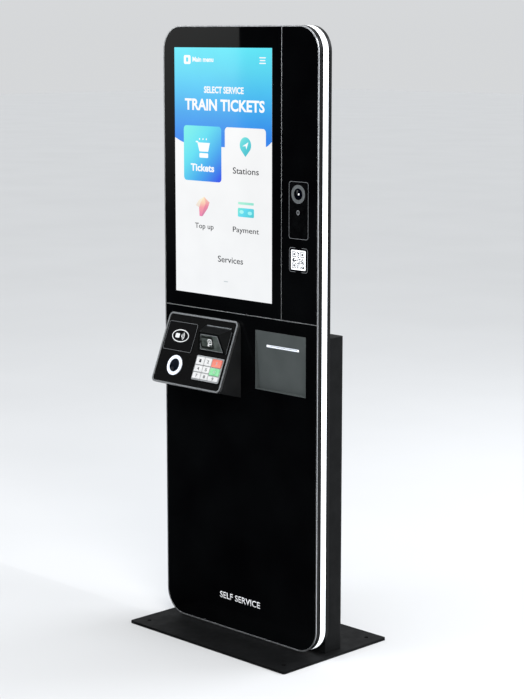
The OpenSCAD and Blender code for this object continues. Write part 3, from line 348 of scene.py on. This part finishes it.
def screen_light(name, stops, along, length_mm, begin_mm):
    """Light from the page on the touch screen, a run of colours along a direction; the backlight behind
    it is uneven by a few hundredths, and the cover glass over it keeps its gloss."""
    material, tree, shader = start(name, Roughness=0.06, IOR=1.33, Base_Color=linear("#050505"))
    place = add(tree, "ShaderNodeTexCoord").outputs["Object"]
    scaled = Vector(along) / (length_mm * MM)
    reach = add(tree, "ShaderNodeVectorMath", {0: place, 1: scaled}, operation="DOT_PRODUCT")
    shifted = add(tree, "ShaderNodeMath", {0: reach.outputs["Value"], 1: -begin_mm / length_mm},
                  operation="ADD")
    ramp = add(tree, "ShaderNodeValToRGB", {"Fac": shifted.outputs["Value"]})
    for index, (where, code) in enumerate(stops):
        if index > 1:
            ramp.color_ramp.elements.new(where)
        ramp.color_ramp.elements[index].position = where
        ramp.color_ramp.elements[index].color = linear(code)
    tree.links.new(ramp.outputs["Color"], shader.inputs["Emission Color"])
    tree.links.new(patches(tree, 120, 0.97, 1.02), shader.inputs["Emission Strength"])
    return material


def print_ink(name, dark, pale, rough):
    """Screen-printed ink: flat and slightly grained where the mesh of the screen left it."""
    material, tree, shader = start(name, IOR=1.45)
    tint(tree, shader.inputs["Base Color"], patches(tree, 6, 0, 1), dark, pale)
    tree.links.new(patches(tree, 5, rough - 0.05, rough + 0.08), shader.inputs["Roughness"])
    tree.links.new(relief(tree, patches(tree, 0.7, 0, 1), 0.01), shader.inputs["Normal"])
    return material


# ---------- flat pieces ----------

def deselect():
    bpy.ops.object.select_all(action="DESELECT")


def edit(select="SELECT"):
    """Opens the active piece in edit mode, with everything or nothing selected."""
    bpy.ops.object.mode_set(mode="EDIT")
    bpy.ops.mesh.select_all(action=select)


def close_edit():
    bpy.ops.mesh.select_all(action="SELECT")
    bpy.ops.mesh.normals_make_consistent(inside=False)
    bpy.ops.object.mode_set(mode="OBJECT")


def settle(piece, surface, at, height, finish, body="kiosk"):
    """Puts a piece that was made round the origin on a surface, with its place in its mesh."""
    deselect()
    piece.select_set(True)
    bpy.context.view_layer.objects.active = piece
    piece.matrix_world = surface @ Matrix.Translation(Vector((at[0], at[1], height)) * MM)
    bpy.ops.object.transform_apply(location=True, rotation=True, scale=True)
    piece.data.materials.clear()
    piece.data.materials.append(finish)
    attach(piece, body)
    return piece


def thicken(thick):
    """Extrudes the selected outline outwards to a layer's thickness."""
    bpy.ops.mesh.extrude_region_move(TRANSFORM_OT_translate={"value": (0, 0, thick * MM)})


def hollow(band):
    """Leaves only a band of the selected outline."""
    bpy.ops.mesh.inset(thickness=band * MM)
    bpy.ops.mesh.delete(type="FACE")
    bpy.ops.mesh.select_all(action="SELECT")


def card(name, size, radius, band=0, thick=LAYER):
    """A flat card with round corners, or the outline of one where it has a band."""
    deselect()
    bpy.ops.mesh.primitive_plane_add(size=1)
    piece = bpy.context.object
    piece.name = piece.data.name = name
    edit()
    bpy.ops.transform.resize(value=(size[0] * MM, size[1] * MM, 1))
    bpy.ops.mesh.bevel(offset=radius * MM, segments=6, affect="VERTICES")
    if band:
        hollow(band)
    thicken(thick)
    close_edit()
    return piece


def disc(name, size, band=0, thick=LAYER, sides=64):
    """A flat disc or oval, or a ring where it has a band."""
    deselect()
    bpy.ops.mesh.primitive_circle_add(vertices=sides, radius=0.5, fill_type="NGON")
    piece = bpy.context.object
    piece.name = piece.data.name = name
    edit()
    bpy.ops.transform.resize(value=(size[0] * MM, size[1] * MM, 1))
    if band:
        hollow(band)
    thicken(thick)
    close_edit()
    return piece


def cutout(name, points, smooth=(), thick=LAYER):
    """A flat shape with the given corners, in millimetres; those numbered in smooth are rounded over."""
    line = bpy.data.curves.new(name, "CURVE")
    line.dimensions = "2D"
    line.fill_mode = "BOTH"
    line.extrude = thick * MM / 2
    spline = line.splines.new("BEZIER")
    spline.bezier_points.add(len(points) - 1)
    spline.use_cyclic_u = True
    for index, (point, corner) in enumerate(zip(spline.bezier_points, points)):
        point.co = (corner[0] * MM, corner[1] * MM, 0)
        kind = "AUTO" if index in smooth else "VECTOR"
        point.handle_left_type = point.handle_right_type = kind
    shape = bpy.data.objects.new(name, line)
    bpy.context.scene.collection.objects.link(shape)
    return as_mesh(shape, thick)


def as_mesh(shape, thick):
    """Turns a filled curve or a text into a closed mesh that stands on its surface."""
    deselect()
    shape.select_set(True)
    bpy.context.view_layer.objects.active = shape
    bpy.ops.object.convert(target="MESH")
    edit()
    bpy.ops.mesh.remove_doubles(threshold=0.001 * MM)
    bpy.ops.transform.translate(value=(0, 0, thick * MM / 2))
    close_edit()
    return shape


def words(name, text, size, weight=0.0, thick=LAYER):
    """Lettering, centred, drawn to fill a width and a height in millimetres."""
    deselect()
    bpy.ops.object.text_add()
    shape = bpy.context.object
    shape.name = shape.data.name = name
    shape.data.body = text
    shape.data.align_x = "CENTER"
    shape.data.offset = weight
    shape.data.resolution_u = 3
    as_mesh(shape, 0)
    low = Vector(map(min, zip(*[v.co for v in shape.data.vertices])))
    high = Vector(map(max, zip(*[v.co for v in shape.data.vertices])))
    edit()
    bpy.ops.transform.translate(value=-(low + high) / 2)
    bpy.ops.transform.resize(value=(size[0] * MM / (high.x - low.x), size[1] * MM / (high.y - low.y), 1))
    thicken(thick)
    close_edit()
    return shape


# How far a letter's outline is swollen, as a share of the type size: headings, wordmark, labels
BOLD = 0.03
MEDIUM = 0.012
LIGHT = 0.006

# ---------- the lit page ----------

DISPLAY_BORDER = 12
panel_low, panel_high = span("display_panel", FRONT)
PAGE_LEFT = panel_low.x + DISPLAY_BORDER
PAGE_TOP = panel_high.y - DISPLAY_BORDER
PAGE_W = panel_high.x - DISPLAY_BORDER - PAGE_LEFT
PAGE_H = PAGE_TOP - panel_low.y - DISPLAY_BORDER
GLASS = span("touch_glass", FRONT)[1].z
PAGE_MIDDLE = (PAGE_W / 2, PAGE_H / 2)
WHITE = "#f7f7f7"


def on_page(piece, right, down, layer, finish):
    """Puts a piece on the page, right of its left edge and down from its top, on a numbered layer."""
    at = (PAGE_LEFT + right, PAGE_TOP - down)
    return settle(piece, FRONT, at, GLASS + layer * LAYER, finish)


def downward(name, stops, top, bottom):
    """Page light whose colours run down the page from one height to another."""
    return screen_light(name, stops, (0, 0, -1), bottom - top, top - PAGE_TOP)


def slanting(name, stops, left, top, length):
    """Page light whose colours run down and to the right from a point."""
    lean = Vector((1, 0, -1)).normalized()
    begin = (PAGE_LEFT + left) * lean.x - (PAGE_TOP - top) * lean.x
    return screen_light(name, stops, lean, length, begin)


page_white = downward("page white", [(0, WHITE), (1, "#f5f7f9")], 0, PAGE_H)
header_blue = downward("page header blue", [(0, "#62e6f6"), (0.24, "#5cd6f2"), (0.43, "#50c4f3"),
                                            (0.66, "#42a6ee"), (0.9, "#3788ec")], 0, 275)
letter_white = downward("page letter white", [(0, "#ffffff"), (1, "#f8fbff")], 0, PAGE_H)
letter_grey = downward("page letter grey", [(0, "#2a2c30"), (1, "#3a3c40")], 200, 640)
soft_grey = downward("page soft grey", [(0, "#c9d3d6"), (1, "#c2ccd0")], 600, PAGE_H)
ticket_blue = slanting("page ticket card blue", [(0, "#7ff2e8"), (0.4, "#60dcf0"), (0.7, "#42a8ee"),
                                                 (1, "#3254ea")], 37, 219, 212)
teal = slanting("page teal", [(0, "#86ece2"), (0.5, "#66d8de"), (1, "#52c6d2")], 266, 244, 50)
mint = slanting("page mint", [(0, "#b4f5dc"), (1, "#8fe3d2")], 258, 425, 60)
cyan = slanting("page cyan", [(0, "#7ff0d0"), (0.45, "#66dcf2"), (1, "#55cdd4")], 258, 438, 64)
ice = slanting("page ice", [(0, "#b6fbf6"), (1, "#9cf6fb")], 258, 438, 64)
gem_lit = downward("page gem, lit side", [(0, "#fdf4cf"), (0.3, "#fcd3b8"), (0.55, "#f9a3ac"),
                                          (1, "#ee86b4")], 419, 475)
gem_shade = downward("page gem, shaded side", [(0, "#f9c9b4"), (0.4, "#ee8fa6"), (1, "#cf86aa")], 424, 475)
gem_pale = downward("page gem, pale side", [(0, "#fbf3da"), (1, "#ecd9d4")], 425, 455)

# The header's lower edge is one shallow wave
HEADER = [(0, 0), (PAGE_W, 0), (PAGE_W, -253), (372, -267), (286, -276), (200, -275), (110, -277),
          (37, -268), (0, -254.8)]
on_page(card("screen_page", (PAGE_W, PAGE_H), 0.4), *PAGE_MIDDLE, 0, page_white)
on_page(cutout("screen_header", HEADER, (3, 4, 5, 6, 7)), 0, 0, 1, header_blue)

on_page(card("header_badge", (28, 25), 5), 54, 34, 2, letter_white)
on_page(card("header_badge_slot", (9, 12), 2), 54, 34, 3, header_blue)
on_page(words("header_name", "Main menu", (86, 14), BOLD), 119, 33, 2, letter_white)
MENU_TOP = 26.5
MENU_STEP = 7.5
for row in range(3):
    bar = card(f"menu_bar_{row + 1}", (25 - 4 * (row % 2), 3), 1.4)
    on_page(bar, 357, MENU_TOP + MENU_STEP * row, 2, letter_white)
on_page(words("page_greeting", "SELECT SERVICE", (160, 19), BOLD), 203, 117, 2, letter_white)
on_page(words("page_title", "TRAIN TICKETS", (322, 33), BOLD), 204, 159, 2, letter_white)

CARD_TOP = 219
CARD_R = 11
on_page(card("ticket_card", (155.5, 156), CARD_R), 115.3, CARD_TOP + 78, 2, ticket_blue)
on_page(card("map_card", (162.4, 152), CARD_R), 288.6, CARD_TOP + 76, 2, page_white)

BASKET = [(88, -262), (97, -262), (99, -266), (146, -266), (139, -291), (103, -291), (95, -266),
          (88, -265.5)]
on_page(cutout("basket", BASKET), 0, 0, 3, letter_white)
on_page(card("basket_base", (36, 13), 3), 121, 302, 3, letter_white)
DOT_LEFT = 104
DOT_STEP = 14
for spot in range(3):
    dot = disc(f"basket_dot_{spot + 1}", (5, 5), sides=20)
    on_page(dot, DOT_LEFT + DOT_STEP * spot, 256, 3, letter_white)
on_page(words("ticket_label", "Tickets", (97, 21), BOLD), 115, 337, 3, letter_white)

PIN_R = 22.5
pin = [(PIN_R * math.sin(math.radians(a)), PIN_R * math.cos(math.radians(a))) for a in range(-125, 126, 10)]
pin.append((0, -32))
on_page(cutout("map_pin", pin), 290, 266.5, 3, teal)
ARROW = [(-12, -3), (12, 9), (4, -11), (1, -2)]
on_page(cutout("map_arrow", ARROW), 290, 266.5, 4, letter_white)
on_page(words("map_label", "Stations", (103, 18), LIGHT), 291, 338, 3, letter_grey)

GEM_PALE = [(121, -419), (104, -452), (86, -445), (100, -429)]
GEM_LIT = [(121, -419), (128, -436), (120, -455), (113, -475), (102, -475), (100, -452), (106, -437)]
GEM_SHADE = [(121, -419), (144, -434), (136, -451), (115, -474.5), (111, -475), (119, -454), (128, -437)]
on_page(cutout("topup_gem_pale", GEM_PALE), 0, 0, 1, gem_pale)
on_page(cutout("topup_gem_lit", GEM_LIT), 0, 0, 2, gem_lit)
on_page(cutout("topup_gem_shade", GEM_SHADE), 0, 0, 3, gem_shade)
on_page(words("topup_label", "Top up", (77, 20), LIGHT), 121, 505, 1, letter_grey)

on_page(card("pay_strip", (62, 7), 2), 291, 428, 1, mint)
on_page(card("pay_card", (64, 25), 4), 291, 453.5, 1, cyan)
on_page(disc("pay_mark_left", (17, 10), sides=24), 274, 452, 2, ice)
on_page(disc("pay_mark_right", (17, 10), sides=24), 307, 454, 2, ice)
on_page(words("pay_label", "Payment", (104, 20), LIGHT), 290.5, 505, 1, letter_grey)
on_page(words("service_label", "Services", (102, 18), LIGHT), 228, 591, 1, letter_grey)
on_page(card("page_dash", (17, 2.5), 1.2), 209.5, 654, 1, soft_grey)

# ---------- printed marks on the slab ----------

white_ink = print_ink("white ceramic ink", "#dfe1e2", "#f1f2f2", 0.4)
grey_ink = print_ink("grey ceramic ink", "#74777a", "#84878a", 0.42)
# Dark ink in the scan window is painted shade, for the shade inside its recess
painted_shade_ink = print_ink("painted shade in the scan window", "#121514", "#1e2220", 0.3)
# The wordmark is white print; its faint emission is painted light that makes it glow
glowing_mark_white = lit_acrylic("white mark with painted glow", "#f2f4f6", "#ffffff", 0.3, 6)
faded_ink = print_ink("grey ink on the lit sign", "#2f3235", "#505457", 0.5)
# Grey metal strips in this finish stand for edge highlights: painted highlight
highlight_strip_grey = anodised("satin strip for painted edge highlights", "#6a6d6f", "#86898b", 0.45)
PRINT = 0.12


def on_slab(piece, at, height, finish):
    """Puts a piece on the slab's front, at a place across and above the floor."""
    return settle(piece, FRONT, at, height, finish)


# The wordmark's print is real, its glow is painted light
WORDMARK_SIZE = (166, 19)
WORDMARK_AT = (3, 112)
on_slab(words("wordmark", "SELF SERVICE", WORDMARK_SIZE, MEDIUM, PRINT), WORDMARK_AT, GLASS, glowing_mark_white)

cam_low, cam_high = span("camera_housing", FRONT)
CAM_X = (cam_low.x + cam_high.x) / 2
CAM_Z = (cam_low.y + cam_high.y) / 2
CAM_SIZE = (73, 156)
lens_x, lens_z, lens_top = middle("camera_lens", FRONT)
on_slab(card("camera_outline", CAM_SIZE, 8, 1.1, PRINT), (CAM_X, CAM_Z), GLASS, grey_ink)

# ---------- printed marks on the console ----------

reader_x, reader_y, reader_top = middle("reader_tile", CONSOLE)
reader_low, reader_high = span("reader_tile", CONSOLE)
reader_size = (reader_high.x - reader_low.x - 1, reader_high.y - reader_low.y - 1)


def on_reader(piece, right, up, finish):
    return settle(piece, CONSOLE, (reader_x + right, reader_y + up), reader_top, finish)


on_reader(card("reader_outline", reader_size, 5.5, 0.9, PRINT), 0, 0, grey_ink)
on_reader(disc("reader_oval", (70, 38), 2.8, PRINT), 0, 2, white_ink)
on_reader(card("reader_card", (17, 13), 2.5, 0, PRINT), -12, 2, white_ink)
WAVE_START = 6
WAVE_STEP = 5
WAVE_BAND = 2.4
wave_turns = [math.radians(a) for a in range(-45, 46, 10)]
for wave in range(3):
    reach = WAVE_START + WAVE_STEP * wave
    outer = [(reach * math.cos(a), reach * math.sin(a)) for a in wave_turns]
    inner = [(x * (reach - WAVE_BAND) / reach, y * (reach - WAVE_BAND) / reach) for x, y in reversed(outer)]
    on_reader(cutout(f"reader_wave_{wave + 1}", outer + inner, thick=PRINT), 1, 2, white_ink)

scan_x, scan_y, scan_top = middle("scanner_window", SCANNER)


def on_scanner(piece, right, up, finish):
    return settle(piece, SCANNER, (scan_x + right, scan_y + up), scan_top, finish)


# The dark band round the left of the scan window is painted shade, where the recess falls dark
on_scanner(card("scan_recess_painted_shade", (54, 37), 7, 6, PRINT), -14, 0, painted_shade_ink)
on_scanner(card("scan_mark_frame", (18, 17), 5, 3.4, PRINT), 0, 3, white_ink)
on_scanner(card("scan_mark_core", (5, 5), 1.5, 0, PRINT), 0, 3, white_ink)
on_scanner(card("scan_mark_foot", (7, 6), 2, 0, PRINT), -8, -8, white_ink)

# The thin grey band round the scan window is a painted highlight, for the light its rim catches
window_low, window_high = span("scanner_window", SCANNER)
half_low = (window_high.x - window_low.x) / 2
half_top = half_low - (window_high.y - window_low.y) * HOOD_DRAW / math.hypot(HOOD_RISE, HOOD_RUN)
half_rise = (window_high.y - window_low.y) / 2
rim = [(-half_low, -half_rise), (half_low, -half_rise), (half_top, half_rise), (-half_top, half_rise)]
RIM_BAND = 1.8
rim_inner = [(x - math.copysign(RIM_BAND, x), y - math.copysign(RIM_BAND, y)) for x, y in rim]
window_rim = rim + rim[:1] + rim_inner[:1] + list(reversed(rim_inner))
on_scanner(cutout("scanner_window_rim_highlight", window_rim, thick=PRINT), 0, 0, grey_ink)

hood_low, hood_high = span("scanner_hood", CONSOLE)
HOOD_X = (hood_low.x + hood_high.x) / 2
HOOD_Y = (hood_low.y + hood_high.y) / 2
FACE = span("console_face", CONSOLE)[1].z
# Thin grey strips along the hood's back foot and right foot are painted highlights, for the light its edges
# catch
back_line = card("hood_back_highlight", (hood_high.x - hood_low.x - 12, 3.4), 1.6, 0, 0.5)
settle(back_line, CONSOLE, (HOOD_X + 1, hood_high.y + 1.8), FACE, highlight_strip_grey)
side_line = card("hood_side_highlight", (1.3, hood_high.y - hood_low.y - 10), 0.6, 0, 0.5)
settle(side_line, CONSOLE, (hood_high.x + 0.8, HOOD_Y - 2), FACE, highlight_strip_grey)

legend_grey = print_ink("grey key legend", "#55585b", "#66696c", 0.45)
LEGENDS = {"key_1": "1", "key_2": "2", "key_cancel": "X", "key_4": "4", "key_5": "5", "key_enter": "O",
           "key_7": "7", "key_8": "8", "key_9": "9"}
for key, legend in LEGENDS.items():
    key_x, key_y, key_top = middle(key, CONSOLE)
    action = key in ("key_cancel", "key_enter")
    mark = words(f"{key}_legend", legend, (8, 9), 0.02, PRINT)
    settle(mark, CONSOLE, (key_x, key_y), key_top, white_ink if action else legend_grey,
           f"{key}_body")

# ---------- code sign ----------

sign_x, sign_z, sign_top = middle("code_sign", FRONT)
CODE_CELLS = 21
CODE_SIDE = 46
DARK_SHARE = 0.48
random.seed(7)
deselect()
bpy.ops.mesh.primitive_grid_add(x_subdivisions=CODE_CELLS, y_subdivisions=CODE_CELLS, size=CODE_SIDE * MM)
code = bpy.context.object
code.name = code.data.name = "code_pattern"
half_cells = CODE_CELLS // 2
cell = CODE_SIDE * MM / CODE_CELLS


def printed(column, row):
    """Whether a cell of the made-up square pattern is dark; three corners hold the usual finder squares."""
    for corner in ((-1, 1), (-1, -1), (1, 1)):
        across = abs(column - corner[0] * (half_cells - 3))
        along = abs(row - corner[1] * (half_cells - 3))
        reach = max(across, along)
        if reach <= 4:
            return reach in (0, 1, 3)
    return random.random() < DARK_SHARE


bpy.context.tool_settings.mesh_select_mode = (False, False, True)
edit("DESELECT")
bpy.ops.object.mode_set(mode="OBJECT")
for face in code.data.polygons:
    face.select = not printed(round(face.center.x / cell), round(face.center.y / cell))
bpy.ops.object.mode_set(mode="EDIT")
bpy.ops.mesh.delete(type="FACE")
bpy.ops.mesh.select_all(action="SELECT")
thicken(PRINT)
close_edit()
bpy.context.tool_settings.mesh_select_mode = (True, False, False)
on_slab(code, (sign_x, sign_z), sign_top, faded_ink)

BRACKET = (70, 67)
BRACKET_R = 8
BRACKET_GAP = 24
BRACKET_BAND = 1.2


def bracket_edge(inset):
    """Half of the frame round the sign, from the gap above it round its left side to the gap below."""
    half_w = BRACKET[0] / 2 - inset
    half_h = BRACKET[1] / 2 - inset
    r = BRACKET_R - inset
    turns = [math.radians(a) for a in range(0, 91, 15)]
    upper = [(-half_w + r - r * math.sin(a), half_h - r + r * math.cos(a)) for a in turns]
    lower = [(x, -y) for x, y in reversed(upper)]
    return [(-BRACKET_GAP / 2, half_h)] + upper + lower + [(-BRACKET_GAP / 2, -half_h)]


left_bracket = bracket_edge(0) + list(reversed(bracket_edge(BRACKET_BAND)))
right_bracket = [(-x, y) for x, y in reversed(left_bracket)]
on_slab(cutout("sign_bracket_left", left_bracket, thick=PRINT), (sign_x, sign_z), GLASS, grey_ink)
on_slab(cutout("sign_bracket_right", right_bracket, thick=PRINT), (sign_x, sign_z), GLASS, grey_ink)

# ---------- camera details ----------

ring_grey = print_ink("grey moulded lens ring", "#55595b", "#65696b", 0.4)
# The small white disc on the lens is a painted highlight, standing for the glint of a lamp in the glass
glint_white = print_ink("white painted lens glint", "#f2f4f6", "#ffffff", 0.3)
on_slab(disc("lens_painted_glint", (6, 6), 0, 0.2, 24), (lens_x + 1.5, lens_z), lens_top, glint_white)
RING_TOP = cam_high.z
LENS_RING = 51
LENS_BAND = 9.5
lens_ring = disc("lens_ring", (LENS_RING, LENS_RING), LENS_BAND, 0.4)
on_slab(lens_ring, (lens_x, lens_z), RING_TOP, ring_grey)
on_slab(disc("status_ring", (11, 14), 2.6, 0.3), (CAM_X - 2, CAM_Z - 6), GLASS, grey_ink)

# ---------- floor, backdrop and lights ----------

FLOOR_SIDE = 80
bpy.ops.mesh.primitive_plane_add(size=FLOOR_SIDE)
floor = bpy.context.object
floor.name = "floor"
floor_finish, floor_tree, floor_shader = start("pale studio floor", Roughness=0.7, IOR=1.4)
tint(floor_tree, floor_shader.inputs["Base Color"], patches(floor_tree, 900, 0, 1), "#dadbdc", "#dddedf")
floor.data.materials.append(floor_finish)

world = bpy.data.worlds.new("studio")
bpy.context.scene.world = world
world.use_nodes = True
sky = world.node_tree
HORIZON = 0.74
ZENITH = 1.05
heading = add(sky, "ShaderNodeTexCoord").outputs["Generated"]
height = add(sky, "ShaderNodeSeparateXYZ", {"Vector": heading}).outputs["Z"]
light = add(sky, "ShaderNodeMapRange", {"Value": height, "From Max": 0.7, "To Min": HORIZON,
                                        "To Max": ZENITH})
sky.nodes["Background"].inputs["Color"].default_value = linear("#f4f6f8")
sky.links.new(light.outputs["Result"], sky.nodes["Background"].inputs["Strength"])


def area_light(name, at, aim, size, power, colour):
    """A soft box at a place, aimed at a point."""
    lamp = bpy.data.lights.new(name, "AREA")
    lamp.shape = "RECTANGLE"
    lamp.size, lamp.size_y = size
    lamp.energy = power
    lamp.color = linear(colour)[:3]
    holder = bpy.data.objects.new(name, lamp)
    holder.location = at
    holder.rotation_euler = (Vector(aim) - Vector(at)).to_track_quat("-Z", "Y").to_euler()
    bpy.context.scene.collection.objects.link(holder)


KIOSK_MIDDLE = (0, 0, 0.9)
area_light("key", (3.2, -2.2, 3.6), KIOSK_MIDDLE, (1.6, 1.6), 90, "#fffaf4")
area_light("fill", (-1.6, -3.4, 3.4), KIOSK_MIDDLE, (1.8, 1.2), 40, "#f4f8ff")
area_light("rear", (1.4, 3.4, 3.0), KIOSK_MIDDLE, (2.4, 1.4), 80, "#f6f9ff")
area_light("side", (3.6, 1.2, 2.4), KIOSK_MIDDLE, (1.2, 2.0), 40, "#f6f9ff")


def studio_board(name, size, at, turn, finish):
    """A flat board or cloth of the studio, which shows only in the kiosk's polished faces."""
    bpy.ops.mesh.primitive_plane_add(size=1)
    board = bpy.context.object
    board.name = name
    board.scale = (*size, 1)
    board.location = at
    board.rotation_euler = turn
    board.data.materials.append(finish)
    board.visible_camera = False
    board.visible_diffuse = False
    board.visible_shadow = False


def black_cloth():
    """Molton, the matt black studio cloth. It swallows light, so polished black stays black."""
    material, tree, shader = start("black studio cloth", Roughness=1.0, Specular_IOR_Level=0.0)
    tint(tree, shader.inputs["Base Color"], patches(tree, 40, 0, 1), "#020202", "#050505")
    return material


PANEL_POWER = 3.4


def glow_panel():
    """A diffusing panel lit from its top, whose light fades towards its foot."""
    material, tree, shader = start("diffusing panel", Base_Color=linear("#000000"), Roughness=1.0,
                                   Emission_Color=linear("#f4f6f4"))
    place = add(tree, "ShaderNodeTexCoord").outputs["Object"]
    rise = add(tree, "ShaderNodeSeparateXYZ", {"Vector": place}).outputs["Y"]
    fade = add(tree, "ShaderNodeMapRange", {"Value": rise, "From Min": -0.5, "From Max": 0.45,
                                            "To Min": 0.0, "To Max": PANEL_POWER},
               interpolation_type="SMOOTHSTEP")
    tree.links.new(fade.outputs["Result"], shader.inputs["Emission Strength"])
    return material


# The cloths keep the pale floor and backdrop out of the black front; the panel gives it one soft band
MOLTON = black_cloth()
CLOTH_SIDE = 39
CLOTH_START = 0.1
CLOTH_LIFT = 0.001
studio_board("floor_cloth", (2 * CLOTH_SIDE, CLOTH_SIDE),
             (0, -CLOTH_START - CLOTH_SIDE / 2, CLOTH_LIFT), (0, 0, 0), MOLTON)
ASIDE = math.radians(46)
CLOTH_AWAY = 12
CLOTH_WIDE = 24
CLOTH_TALL = 4.6
studio_board("standing_cloth", (CLOTH_WIDE, CLOTH_TALL),
             (-CLOTH_AWAY * math.cos(ASIDE), -CLOTH_AWAY * math.sin(ASIDE), CLOTH_TALL / 2),
             (math.radians(90), 0, ASIDE - math.radians(90)), MOLTON)
PANEL_EDGE = Vector((-4.26, -4.2, 0))
PANEL_ALONG = Vector((-0.72, 0.69, 0))
PANEL_SIZE = (1.2, 2.0)
PANEL_LOW = 0.3
studio_board("glow_panel", PANEL_SIZE,
             PANEL_EDGE + PANEL_ALONG * PANEL_SIZE[0] / 2 + Vector((0, 0, PANEL_LOW + PANEL_SIZE[1] / 2)),
             (math.radians(90), 0, math.atan2(-PANEL_ALONG.y, -PANEL_ALONG.x)), glow_panel())

bpy.context.scene.view_settings.view_transform = "Standard"
